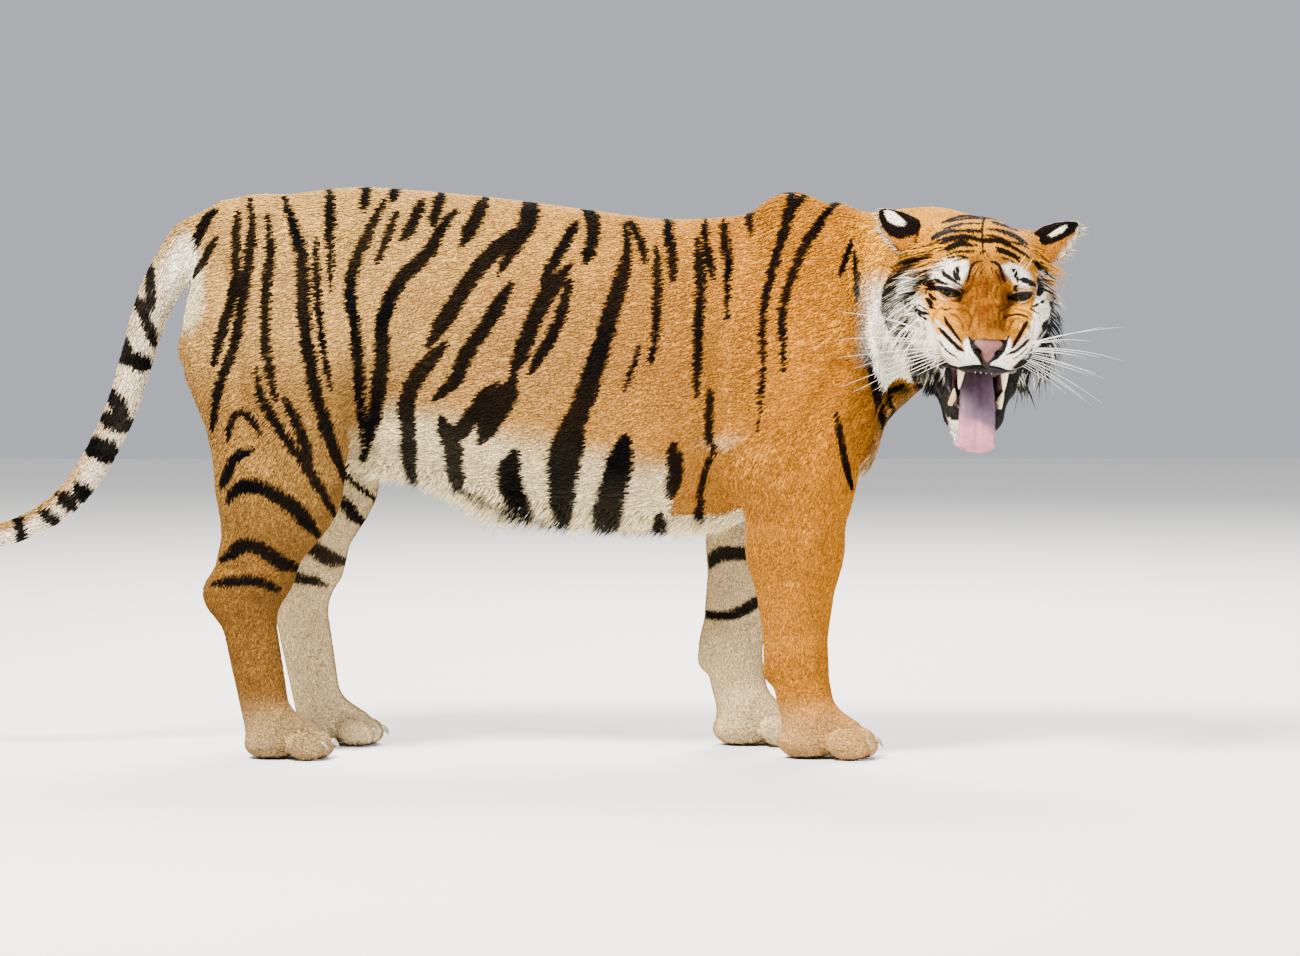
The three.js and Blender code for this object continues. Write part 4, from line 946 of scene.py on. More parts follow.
def coat_colours(p, n, part):
    """The colour of the coat at points p of the body with normals n, as linear red, green and blue."""
    look = bpy.context.scene.tiger_coat
    orange, tan, white, black = (np.array(c) for c in (look.orange, look.tan, look.white, look.black))
    side = np.where(part == LEFT_FORELEG, 1, np.where(part == LEFT_HINDLEG, 1, np.sign(p[:, 1])))
    shifted = as_right(p, part)
    on_tail = part == TAIL
    wobble = np.stack((ripple(p, 26, 1), ripple(p, 26, 2)), axis=1)
    far = (ramp(p[:, 1], 0, 60) * ~on_tail)[:, None]
    q = drawn(shifted) + wobble * 0.9 + far * 14 * np.stack((ripple(p, 150, 3), ripple(p, 150, 4)), axis=1)

    forward = ramp(p[:, 0], -520, 380)
    base = mix(tan, orange, 0.1 + 0.9 * forward)
    # Painted shade: the hind half darker towards its lower parts.
    low = ramp(q[:, 1], 560, 250) * (1 - forward)
    base = mix(base, (tan + orange) / 2 * 0.55, 0.8 * low)
    shade = ramp(np.abs(q[:, 1] - 720), 150, 20) * ramp(np.abs(q[:, 0] + 90), 360, 120)
    base = mix(base, base * np.array((0.74, 0.72, 0.78)), 0.8 * shade)
    # Painted sunlight: the top of the back lighter.
    gold = ramp(q[:, 1], 800, 940) * ramp(q[:, 0], 300, 0)
    base = mix(base, base * np.array((1.1, 1.12, 1.1)), gold)
    # Painted sunlight: the top of the neck much lighter.
    sunlit_nape = ramp(q[:, 0], 330, 410) * ramp(q[:, 1], 740, 840)
    base = mix(base, base * np.array((1.55, 1.9, 1.6)), sunlit_nape)
    # Painted shade: the haunch and thigh darker.
    thigh_shade = ramp(p[:, 0], -330, -470) * ramp(q[:, 1], 740, 600) * ~on_tail
    base = mix(base, base * np.array((0.62, 0.56, 0.46)), thigh_shade)
    patchy = ripple(p, 70, 5)
    base = base * (1 + 0.08 * patchy[:, None])

    edge = np.interp(q[:, 0], BELLY_EDGE[:, 0], BELLY_EDGE[:, 1]) + 10 * ripple(p, 40, 6)
    pale = ramp(edge - q[:, 1], -34, 44) * (part == TRUNK_PART)
    inward = -side * n[:, 1]
    legs = on_legs(part)
    pale *= 0.74 + 0.26 * ramp(edge - q[:, 1], 20, 90)
    pale = np.maximum(pale, ramp(inward, -0.05, 0.55) * legs * ramp(p[:, 2], 640, 520))
    pale = np.maximum(pale, 0.85 * ramp(n[:, 2], -0.35, -0.75) * ramp(p[:, 2], 560, 480) * ~legs)
    breast = ramp(np.abs(p[:, 1]), 80, 30) * ramp(p[:, 0], 330, 390) * ramp(p[:, 2], 700, 600)
    pale = np.maximum(pale, 0.5 * breast)
    pale = np.maximum(pale, 0.4 * ramp(p[:, 2], 130, 30) * legs)
    pale = np.maximum(pale, 0.6 * on_tail * ramp(n[:, 2], 0.7, -0.2))
    root = np.linalg.norm((q - np.array((-822, 828))) / np.array((40, 92)), axis=1)
    pale = np.maximum(pale, 0.9 * ramp(root, 1.15, 0.6) * ramp(p[:, 1], 60, 10))
    pale *= 1 - 0.7 * ramp(q[:, 0], 330, 380) * ramp(q[:, 1], 480, 560) * (part == TRUNK_PART)
    cream = mix(white * np.array((0.9, 0.8, 0.58)), white, on_tail.astype(float))
    # Painted shade: the pale parts of the legs darker below the body.
    cream = mix(cream, cream * np.array((0.62, 0.56, 0.5)), legs * ramp(p[:, 2], 560, 420))
    found = mix(base, cream, pale)
    seen = drawn(p)
    # The throat's dark fur, with painted shade over it: darker and bluer.
    throat = area(seen, "throat", 26) * ramp(p[:, 0], 330, 380)
    found = mix(found, found * np.array((0.26, 0.3, 0.34)), throat * (0.8 + 0.4 * ripple(p, 16, 14)))
    strands = np.clip(0.92 + 0.6 * ripple(p, 14, 12), 0, 1) * (part == TRUNK_PART)
    near_face = strands * ramp(to_head(p)[:, 0], -260, -220)
    for name in ("corner right", "corner left"):
        found = mix(found, black, area(seen, name, 5) * near_face)
    stripes = stroked(q, BODY_STRIPES, 1.52) * ~on_tail
    if on_tail.any():
        stripes[on_tail] = stroked(q[on_tail], TAIL_BANDS, 1.3)
        stripes = np.maximum(stripes, ramp(p[:, 0], -1350, -1372) * on_tail)
    facing_ahead = ramp(p[:, 0], 330, 400) * ramp(n[:, 0], 0.15, 0.5) * ramp(n[:, 1], -0.4, -0.05)
    stripes *= 1 - facing_ahead * (part == TRUNK_PART)
    fore = ((part == LEFT_FORELEG) | (part == RIGHT_LEG)) & (p[:, 0] > 0)
    for level, wide in INNER_BARS:
        away = np.abs(p[:, 2] - level + 9 * ripple(p, 60, 13) - 0.25 * (p[:, 0] - 200))
        bar = (1 - ramp(away, 0.6 * wide, 1.3 * wide)) * ramp(inward, 0.1, 0.45)
        stripes = np.maximum(stripes, bar * fore)
    found = mix(found, black, ramp(stripes, 0.12, 0.7) * (0.985 + 0.015 * patchy))

    h = to_head(p)
    beside = ramp(h[:, 0], -190, -150) * ramp(np.abs(h[:, 1]), 215, 165) * ramp(h[:, 2], -170, -110)
    beside *= ramp(h[:, 1], 80, 30)
    last = np.interp(h[:, 1], (0, 70), (-230, -192))
    fading = ramp(h[:, 0], last, last + 50)
    share = np.where(part == EAR, 1.0, np.where(part == HEAD, fading, beside * (part == TRUNK_PART)))
    face = share > 0
    if face.any():
        on_face = head_colours(p[face], n[face], part[face], orange, tan, white, black)
        found[face] = mix(found[face], on_face, share[face])
    return np.clip(found, 0.002, 1)


def head_colours(p, n, part, orange, tan, white, black):
    """The colour of the face, ears and cheeks, as coat_colours gives for the rest."""
    h = to_head(p)
    q = drawn(p) + 0.5 * np.stack((ripple(p, 9, 7), ripple(p, 9, 8)), axis=1)
    front = ramp(h[:, 0], -235, -185)
    muzzle = h[:, 0] > -40
    brown = orange * np.array((0.42, 0.36, 0.4))
    gold = orange * np.array((1.5, 1.75, 2.6))
    across = np.abs(h[:, 1])
    bright = 0.35 + 0.65 * np.maximum(ramp(across, 40, 70), ramp(h[:, 2], 15, 50))
    found = mix(orange, gold, bright * (0.75 + 0.4 * ripple(p, 34, 21)))
    bridge = ramp(across, 56, 26) * ramp(h[:, 0], -30, 20) * ramp(h[:, 2], -96, -80)
    found = mix(found, brown, bridge * (0.85 + 0.3 * ripple(p, 12, 22)))
    # Painted shade in the creases of the wrinkles.
    found = mix(found, brown * 0.45, 0.75 * stroked(q, FACE_SHADES, 1.5) * muzzle)
    # Painted shade in the hollows beside the bridge.
    beside_bridge = np.linalg.norm((h - np.array((8, 0, -8))) * (1, 0, 0.6), axis=1)
    sunk_shade = ramp(beside_bridge, 60, 25) * ramp(np.abs(across - 34), 16, 6)
    found = mix(found, brown * 0.6, 0.5 * sunk_shade * (h[:, 0] > -20))
    pale = ramp(h[:, 2], -102, -114) * (h[:, 0] > -60)
    for name in ("brow right", "brow left", "cheek right", "cheek left"):
        pale = np.maximum(pale, area(q, name) * front)
    for name in ("muzzle right", "muzzle left"):
        pale = np.maximum(pale, area(q, name, 4) * muzzle)
    found = mix(found, 0.7 * orange + 0.5 * white, 0.9 * stroked(q, MUZZLE_PALE) * muzzle)
    pale = np.maximum(pale, ramp(h[:, 2], -118, -128))
    behind = 0.9 * ramp(across, 92, 112) * ramp(h[:, 2], 10, -60)
    pale = np.maximum(pale, behind)
    found = mix(found, white, pale)
    dark = np.maximum(stroked(q, FACE_STRIPES, 1.35), stroked(q, HEAD_BANDS, 1.3))
    # Whisker spots and nose rims, and painted shade in the muzzle's wrinkles.
    dark = np.maximum(dark, stroked(q, MUZZLE_DARK, 1.1) * muzzle) * front
    lips = np.maximum(area(q, "lip right", 3), area(q, "lip left", 3)) * on_jaw(h)
    dark = np.maximum(dark, lips)
    strands = np.clip(0.92 + 0.6 * ripple(p, 14, 12), 0, 1)
    for name in ("corner right", "corner left"):
        dark = np.maximum(dark, area(q, name, 5) * strands)
    dark = np.maximum(dark, area(q, "nose dark", 2) * (h[:, 0] > 60))
    for at, wide in NAPE_BARS:
        away = np.abs(h[:, 0] - at + 10 * ripple(p, 60, 9) + 0.25 * across)
        reach = ramp(h[:, 2], -10, 30) * (1 - front)
        dark = np.maximum(dark, (1 - ramp(away, 0.6 * wide, 1.2 * wide)) * reach * 0.9)
    for at, wide in CHEEK_BARS:
        away = np.abs(h[:, 0] - at + 9 * ripple(p, 40, 10) + 0.3 * (h[:, 2] + 60))
        reach = ramp(across, 84, 100) * ramp(np.abs(h[:, 2] + 62), 72, 50) * (h[:, 1] > 0)
        dark = np.maximum(dark, (1 - ramp(away, 0.6 * wide, 1.3 * wide)) * reach * 0.9)
    ear = part == EAR
    if ear.any():
        back = ramp(n[ear] @ HEAD_TURN[:, 0], -0.45, -0.15)
        found[ear] = mix(0.5 * white + 0.3 * tan, orange, back)
        dark[ear] = 0
        for s in SIDES:
            spot = area(q[ear], f"ear {s} spot", 2.0) * back
            dark[ear] = np.maximum(dark[ear], area(q[ear], f"ear {s} black", 3.0) * back) * (1 - spot)
            edge = 0.8 * area(q[ear], f"ear {s} pale", 6) * np.clip(0.8 + ripple(p[ear], 8, 23), 0, 1)
            found[ear] = mix(found[ear], white, np.maximum(spot, edge))
    return mix(found, black, 0.99 * ramp(dark, 0.1, 0.8))


# ---------------------------------------------------------------- materials


def material(name, rough=0.6, **shader):
    """A new material with its tree and shader, whose sockets take the values given."""
    mat = bpy.data.materials.new(name)
    mat.use_nodes = True
    tree = mat.node_tree
    bsdf = tree.nodes["Principled BSDF"]
    bsdf.inputs["Roughness"].default_value = rough
    for socket, value in shader.items():
        bsdf.inputs[socket.replace("_", " ")].default_value = value
    return mat, tree, bsdf


def node(tree, kind, settings=(), **inputs):
    made = tree.nodes.new(kind)
    for name, value in dict(settings).items():
        setattr(made, name, value)
    for name, value in inputs.items():
        socket = made.inputs[int(name[1:])] if name[0] == "_" else made.inputs[name.replace("_", " ")]
        if isinstance(value, bpy.types.NodeSocket):
            tree.links.new(value, socket)
        else:
            socket.default_value = value
    return made


def noise(tree, scale, detail=4.0, rough=0.55, vector=None):
    if vector is None:
        vector = node(tree, "ShaderNodeTexCoord").outputs["Object"]
    made = node(tree, "ShaderNodeTexNoise", Scale=scale, Detail=detail, Roughness=rough, Vector=vector)
    return made.outputs["Fac"]


def spread(tree, value, low, high):
    """A texture's value carried from 0.3..0.7 to low..high."""
    made = node(tree, "ShaderNodeMapRange", Value=value)
    for socket, number in zip(("From Min", "From Max", "To Min", "To Max"), (0.3, 0.7, low, high)):
        made.inputs[socket].default_value = number
    return made.outputs["Result"]


def bump(tree, bsdf, height, strength, distance):
    made = node(tree, "ShaderNodeBump", Height=height, Strength=strength, Distance=distance)
    tree.links.new(made.outputs["Normal"], bsdf.inputs["Normal"])
    return made


def scaled(tree, colour, factor):
    """A colour made lighter or darker by a texture's factor."""
    return node(tree, "ShaderNodeVectorMath", {"operation": "SCALE"}, _0=colour, Scale=factor).outputs[0]


def roughen(tree, bsdf, value, low, high):
    tree.links.new(spread(tree, value, low, high), bsdf.inputs["Roughness"])


def colour_painted(tree, bsdf, value, low, high):
    """Colours a material as its mesh is painted, darker and lighter by a texture's value."""
    pelt = node(tree, "ShaderNodeAttribute", {"attribute_name": "pelt"}).outputs["Color"]
    tree.links.new(scaled(tree, pelt, spread(tree, value, low, high)), bsdf.inputs["Base Color"])


def colour_between(tree, bsdf, value, first, second):
    """Colours a material from one tone to another by a texture's value."""
    tint = node(tree, "ShaderNodeMix", {"data_type": "RGBA"}, Factor=value)
    tint.inputs[6].default_value = (*first, 1)
    tint.inputs[7].default_value = (*second, 1)
    tree.links.new(tint.outputs[2], bsdf.inputs["Base Color"])


def pebble(tree, bsdf, scale, strength, height):
    """Raises small cells, as on bare skin."""
    place = node(tree, "ShaderNodeTexCoord").outputs["Object"]
    cells = node(tree, "ShaderNodeTexVoronoi", Scale=scale, Vector=place)
    bump(tree, bsdf, cells.outputs["Distance"], strength, height)


def coat_material(name, fine, rough):
    """Hair coloured by the markings, with a fine variation of its own."""
    mat, tree, bsdf = material(name, rough, Specular_IOR_Level=0.012)
    grain = noise(tree, fine, 3)
    colour_painted(tree, bsdf, grain, 0.3, 1.7)
    roughen(tree, bsdf, grain, rough - 0.1, rough + 0.12)
    bump(tree, bsdf, noise(tree, fine * 2.5, 3), 0.6, 0.0016)
    return mat


# ---------------------------------------------------------------- properties


def colour(name, description, default):
    return bpy.props.FloatVectorProperty(
        name=name, description=description, default=default, subtype="COLOR", size=3, min=0, max=1
    )


def length(name, description, default):
    """A length given in millimetres."""
    return bpy.props.FloatProperty(
        name=name, description=description, default=default / 1000, min=0, unit="LENGTH", precision=4
    )


def share(name, description, default):
    return bpy.props.FloatProperty(
        name=name, description=description, default=default, min=0, soft_max=2, subtype="FACTOR"
    )


class TigerCoat(bpy.types.PropertyGroup):
    orange: colour("Orange", "Ground colour of the shoulders and head", (0.36, 0.128, 0.005))
    tan: colour("Tan", "Ground colour of the rump", (0.37, 0.21, 0.062))
    white: colour("White", "Belly, inner legs, cheeks and brows", linear(242, 234, 212))
    black: colour("Black", "Stripes", (0.0016, 0.0014, 0.0015))
    body_hair: length("Body Hair", "Length of a tuft on the back and sides", 16)
    face_hair: length("Face Hair", "Length of a tuft on the muzzle", 5)
    fringe_hair: length("Belly Fringe", "Length of the locks under the belly", 52)
    ruff_hair: length("Ruff", "Length of the locks round the cheeks", 78)
    thickness: share("Thickness", "How many layers of tufts cover the skin", 1.06)


class TigerHead(bpy.types.PropertyGroup):
    iris: colour("Iris", "Colour of the iris", linear(70, 48, 18))
    nose: colour("Nose", "Colour of the nose pad", (0.17, 0.072, 0.06))
    tongue: colour("Tongue", "Colour of the tongue's tip", (0.44, 0.155, 0.2))
    ivory: colour("Ivory", "Colour of the teeth", linear(226, 208, 160))
    whisker: length("Whiskers", "Length of the longest whiskers", 185)


class TigerStage(bpy.types.PropertyGroup):
    floor: colour("Floor", "Colour of the floor and backdrop", linear(226, 224, 220))
    light: bpy.props.FloatProperty(
        name="Light", description="Power of the main light", default=1650, min=0, unit="POWER"
    )


# ---------------------------------------------------------------- the skin

TRUNK_NODES = ("head", "jaw", "neck", "chest", "barrel", "hindquarters")
LIMB_NODES = ("foreleg", "hindleg", "tail")  # how these nodes' names start
FLESH = sorted(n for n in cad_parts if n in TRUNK_NODES or n.startswith(LIMB_NODES))
EYE_SLANT = 10.0
EYE_SLIT = (21.0, 6.0, 7.0)  # half length, height of the upper half, height of the lower
SOLE_EDGE = (9, 5)  # the bare sole begins and is complete at these heights


def eye_plane(h, side):
    """Points of the head's frame in an eye's own: depth, outwards along the slit, and up."""
    d = h - np.array((EYE_AT[0], side * EYE_AT[1], EYE_AT[2]))
    c, s = math.cos(math.radians(EYE_SLANT)), math.sin(math.radians(EYE_SLANT))
    out = side * d[:, 1]
    return d[:, 0], c * out + s * d[:, 2], -s * out + c * d[:, 2]


def eye_edge(along, above):
    """The height of the upper or lower edge of the opening, along the slit."""
    long, upper, lower = EYE_SLIT
    shape = np.clip(1 - (along / long) ** 2, 0, 1) ** 0.85
    return np.where(above, upper * shape + 0.04 * along, -lower * shape + 0.04 * along)


def past_lids(along, up):
    """How far outside the opening each place of an eye's plane is."""
    away = np.where(up > 0, up - eye_edge(along, True), eye_edge(along, False) - up)
    return np.maximum(away, (np.abs(along) - EYE_SLIT[0]) * 0.8)


def shape_eyes(h):
    """Opens the skin over each eyeball, with a lid all round standing off it."""
    for side in SIDES.values():
        depth, along, up = eye_plane(h, side)
        near = (np.hypot(along, up) < 40) & (depth > -30) & (depth < 60)
        d, a, u = depth[near], along[near], up[near]
        away = past_lids(a, u)
        stand = -3.5 + 7.2 * ramp(away, -1.0, 0.9)
        reach = np.clip((EYE_RADIUS + stand) ** 2 - a**2 - u**2, 0, None)
        ball = np.sqrt(reach)
        keep = ramp(away, 2.5, 13)
        keep = np.maximum(keep, ramp(np.hypot(a, u), 20, 27))
        crease = np.exp(-(((away - 7.5) / 1.6) ** 2)) * (u > 0) * 1.6
        depth[near] = ball * (1 - keep) + d * keep - crease
        h[:, 0] = np.where(near, depth + EYE_AT[0], h[:, 0])
    return h


# Folds and swellings of the face, in the head's frame on the left side, each carried over to the right:
# height, reach, and its course.
FACE_FOLDS = (
    (-4.5, 4.5, (40, 34, -30), (31, 50, -25), (34, 66, -28), (44, 78, -43), (57, 82, -60), (72, 80, -77)),
    (4.5, 7.5, (56, 40, -42), (50, 54, -38), (56, 66, -46), (68, 72, -62), (84, 70, -78)),
    (-3.5, 4, (58, 33, -38), (78, 33, -47), (100, 33, -60)),
    (-3.0, 6, (14, 42, -14), (20, 60, -18), (25, 80, -26), (26, 92, -40), (16, 98, -60)),
    (3.5, 8, (28, 40, -20), (34, 58, -18), (36, 78, -26), (38, 90, -44)),
    (-1.8, 2.6, (53, 60, -38), (82, 55, -52), (108, 46, -64)),
    (-1.8, 2.6, (60, 78, -56), (96, 66, -66), (115, 44, -76)),
    (-1.8, 2.6, (72, 80, -74), (102, 69, -82), (114, 54, -88)),
    (-2.2, 2.6, (50, 10, -10), (66, 11, -18), (84, 12, -30)),
    (-1.8, 2.4, (46, 22, -14), (60, 24, -22), (76, 26, -34)),
    (-2.6, 4, (20, 8, 20), (34, 12, 8), (46, 16, -4)),
    (3.0, 7, (10, 30, 22), (22, 34, 10), (34, 36, -8)),
    (4.2, 8, (18, 30, 16), (14, 48, 18), (6, 70, 18), (-10, 90, 12)),
    (3.6, 6, (20, 42, -18), (26, 62, -16), (14, 88, -14)),
    (-3.0, 8, (20, 64, -98), (4, 80, -96), (-14, 88, -104)),
)

# Swellings and hollows of the body, on the right side as seen from there: height, reach, and the course as
# (X, Z). The shoulder and its edges, the upper arm, forearm and wrist, the flank, haunch, knee and hock.
BODY_FOLDS = (
    (11, 40, (262, 900), (300, 830), (334, 730)),
    (-13, 34, (176, 930), (150, 800), (136, 690), (140, 600)),
    (11, 40, (214, 780), (200, 680), (196, 600)),
    (-10, 20, (330, 690), (292, 620), (250, 560), (226, 500)),
    (8, 26, (300, 560), (296, 480), (286, 400)),
    (-7, 16, (238, 470), (240, 400), (244, 320)),
    (5, 16, (196, 520), (190, 490)),
    (4, 18, (284, 200), (286, 170)),
    (-12, 36, (392, 900), (400, 780), (392, 680), (372, 600)),
    (-19, 52, (-402, 760), (-440, 660), (-474, 590)),
    (10, 26, (-430, 560), (-500, 560), (-552, 600)),
    (11, 44, (-500, 860), (-540, 760), (-560, 660)),
    (7, 30, (-640, 955), (-600, 930)),
    (-11, 26, (-748, 860), (-736, 740), (-712, 620), (-690, 540)),
    (-11, 16, (-700, 470), (-714, 400), (-726, 340)),
    (6, 18, (-560, 480), (-572, 440)),
    (5, 14, (-690, 330), (-690, 300)),
    (-4, 12, (-716, 250), (-700, 170)),
    (9, 60, (-40, 760), (40, 700), (80, 600)),
    (-8, 34, (-250, 800), (-300, 690), (-330, 600)),
)


def fold_body(p, n, part):
    """Raises and sinks the skin over the muscles and joints."""
    q = as_right(p, part)
    flat = q[:, [0, 2]]
    lift = np.zeros(len(p))
    for height, reach, *course in BODY_FOLDS:
        line = smooth_line(course, 10)
        low, high = line.min(axis=0) - 2.4 * reach, line.max(axis=0) + 2.4 * reach
        near = ((flat > low) & (flat < high)).all(axis=1)
        near = np.flatnonzero(near & (part != TAIL) & (part != HEAD))
        away = near_line(flat[near], line)
        lift[near] += height * np.exp(-((away / reach) ** 2))
    outward = ramp(-q[:, 1], 30, 90) * ramp(np.abs(n[:, 1]), 0.1, 0.5) * (n[:, 1] * p[:, 1] > 0)
    return p + n * (lift * outward)[:, None]


def fold_face(p, n):
    """Raises and sinks the skin of the face along its folds."""
    h = to_head(p)
    mirrored = h.copy()
    mirrored[:, 1] = np.abs(mirrored[:, 1])
    lift = np.zeros(len(p))
    close = np.flatnonzero((h[:, 0] > -60) & (np.linalg.norm(h, axis=1) < 190))
    for height, reach, *course in FACE_FOLDS:
        away = near_line(mirrored[close], smooth_line(course, 12))
        lift[close] += height * np.exp(-((away / reach) ** 2))
    return p + n * lift[:, None]


def coat_depth(p):
    """How far the skin lies inside the coat's surface."""
    h = to_head(p)
    face = ramp(h[:, 0], -130, -20) * (np.linalg.norm(h, axis=1) < 300)
    return 4.5 - 2.7 * face - 1.5 * ramp(p[:, 2], 420, 60)


def settle(mesh, field, depth, rounds=6, even=0.5):
    """Evens a mesh out and carries its points on to the field's own surface, less the depth."""
    net = Net(mesh)
    p = points_of(mesh)
    for done in range(rounds):
        if done < rounds - 1:
            p = net.even(p, 1, even)
        here, g = slope(field, p)
        steep = np.maximum(dots(g, g), 0.2)
        p = p - g * (np.clip((here + depth(p)) / steep, -9, 9))[:, None]
    move_points(mesh, p)
    return net


def finer(mesh, chosen):
    """Splits the faces whose middles are chosen into four."""
    bm = bmesh.new()
    bm.from_mesh(mesh)
    middles = millimetres([f.calc_center_median() for f in bm.faces])
    picked = [f for f, use in zip(bm.faces, chosen(middles)) if use]
    edges = list({e for f in picked for e in f.edges})
    bmesh.ops.subdivide_edges(bm, edges=edges, cuts=1, use_grid_fill=True)
    bmesh.ops.triangulate(bm, faces=[f for f in bm.faces if len(f.verts) > 4])
    bm.to_mesh(mesh)
    bm.free()


def on_head(p, behind):
    h = to_head(p)
    return (h[:, 0] > behind) & (np.linalg.norm(h, axis=1) < 330)


def on_face(p):
    h = to_head(p)
    return (h[:, 0] > -40) & (np.abs(h[:, 1]) < 105) & (h[:, 2] > -190) & (h[:, 2] < 60)


def kind_of(name):
    """The kind of coat on a solid part."""
    if name in ("head", "jaw"):
        return HEAD
    if name.startswith("tail"):
        return TAIL
    if "right" in name:
        return RIGHT_LEG
    if "left" in name:
        return LEFT_FORELEG if name.startswith("fore") else LEFT_HINDLEG
    return TRUNK_PART


def kinds_at(p):
    """The kind of coat at each point: that of the solid part nearest it."""
    corners, faces, kinds = [], [], []
    for name in FLESH:
        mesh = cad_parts[name].data
        start = len(corners)
        corners.extend(v.co[:] for v in mesh.vertices)
        faces.extend([start + i for i in face.vertices] for face in mesh.polygons)
        kinds.extend([kind_of(name)] * len(mesh.polygons))
    tree = BVHTree.FromPolygons(corners, faces)
    return np.array([kinds[tree.find_nearest(Vector(co))[2]] for co in metres(p)])


SPINE = rows(((505, -42, 822), (392, -4, 790), (220, 0, 760), (-200, 0, 770), (-742, 0, 860)))


def lie_of_coat(p, n, part):
    """The way the hair lies at each point, along the surface."""
    back = np.diff(SPINE, axis=0)
    _, way = near_line(p, SPINE, np.vstack((unit(back), unit(back[-1:]))))
    flow = unit(way) + np.array((0, 0, -0.42))
    legs = on_legs(part)
    down = ramp(p[:, 2], 720, 480)
    flow = np.where(legs[:, None], mix(flow, (-0.22, 0, -1.0), down), flow)
    flow = mix(flow, (0.9, 0, -0.5), ramp(p[:, 2], 120, 60) * legs)
    on_tail = part == TAIL
    if on_tail.any():
        course = _tail[:, :3]
        way = np.vstack((unit(np.diff(course, axis=0)), unit(course[-1:] - course[-2:-1])))
        flow[on_tail] = near_line(p[on_tail], course, way)[1]
    face = part == HEAD
    if face.any():
        h = to_head(p[face])
        away = unit(h - np.array((118, 0, -76)))
        away = away + np.array((-0.55, 0, -0.1)) * ramp(np.abs(h[:, 1]), 40, 100)[:, None]
        below = ramp(h[:, 2], -120, -150)[:, None]
        away = away * (1 - below) + np.array((-0.9, 0, -0.45)) * below
        flow[face] = away @ HEAD_TURN.T
    return unit(flow - n * dots(flow, n)[:, None])


def hair_length(p, part):
    look = bpy.context.scene.tiger_coat
    h = to_head(p)
    body, face = look.body_hair * 1000, look.face_hair * 1000
    size = np.full(len(p), body)
    legs = on_legs(part)
    size = np.where(legs, body * (0.55 + 0.45 * ramp(p[:, 2], 260, 620)), size)
    size = np.where(legs & (p[:, 2] < 130), body * 0.42, size)
    size = np.where(part == TRUNK_PART, size * (1 + 0.4 * ramp(p[:, 2], 560, 430)), size)
    for side in SIDES.values():
        from_ear = np.linalg.norm(h - np.array((-132, side * 96, 44)), axis=1)
        size = size + 10 * ramp(from_ear, 66, 34)
    from_nose = np.linalg.norm(h - np.array((110, 0, -76)), axis=1)
    on_face = size - body + face + (0.62 * body - face) * ramp(from_nose, 70, 260)
    return np.where(part == HEAD, on_face, size)


def bare(p, part):
    """Where the skin is bare: the mouth's inside, the eyes and the soles."""
    h = to_head(p)
    inside_mouth = ramp(joined(HOLLOWS[:3], h), 7, 3) * (part == HEAD) * (h[:, 0] > -80)
    eyes = np.zeros(len(p))
    for side in SIDES.values():
        depth, along, up = eye_plane(h, side)
        away = past_lids(along, up)
        eyes = np.maximum(eyes, ramp(away, 2.6, 1.4) * (np.abs(depth) < 45) * (np.hypot(along, up) < 36))
    nose = ramp(np.linalg.norm((h - np.array((111, 0, -82))) / np.array((23, 31, 25)), axis=1), 1.06, 0.96)
    soles = ramp(p[:, 2], *SOLE_EDGE)
    q = drawn(p)
    lips = np.maximum(area(q, "lip right", 3), area(q, "lip left", 3)) * on_jaw(h) * (part == HEAD)
    return np.maximum.reduce((inside_mouth, eyes, nose * (part == HEAD), soles, lips)), inside_mouth, eyes


class TIGER_OT_skin(bpy.types.Operator):
    """One skin over the whole body, settled on its smooth form and painted with the markings"""

    bl_idname = "tiger.skin"
    bl_label = "Skin"

    def execute(self, context):
        obj = copy_of([*FLESH, "eye_left", "eye_right"], "skin", 9.0)
        mesh = obj.data
        largest_piece(mesh)
        settle(mesh, flesh, coat_depth, 8)
        finer(mesh, lambda p: on_head(p, -230))
        settle(mesh, flesh, coat_depth, 5)
        finer(mesh, on_face)
        settle(mesh, flesh, coat_depth, 4)
        p, n = points_of(mesh), normals_of(mesh)
        part = kinds_at(p)
        move_points(mesh, fold_body(p, n, part))
        p = fold_face(points_of(mesh), normals_of(mesh))
        p = from_head(shape_eyes(to_head(p)))
        p[:, 2] = np.maximum(p[:, 2], 0)
        move_points(mesh, p)
        p, n = points_of(mesh), normals_of(mesh)
        colours = coat_colours(p, n, part)
        hairless, mouth, eyes = bare(p, part)
        # The inside of the mouth: its red flesh colour, darkened as painted shade.
        colours = mix(colours, linear(66, 40, 42), mouth)
        colours = mix(colours, linear(12, 10, 10), eyes)
        colours = mix(colours, linear(52, 42, 38), ramp(p[:, 2], *SOLE_EDGE))
        paint(mesh, "pelt", colours)
        store(mesh, "bare", hairless)
        store(mesh, "kind", part)
        shade_smooth(mesh)
        mesh.materials.append(coat_material("pelt over the body", 260, 0.62))
        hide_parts(*FLESH)
        return {"FINISHED"}


# ---------------------------------------------------------------- the coat


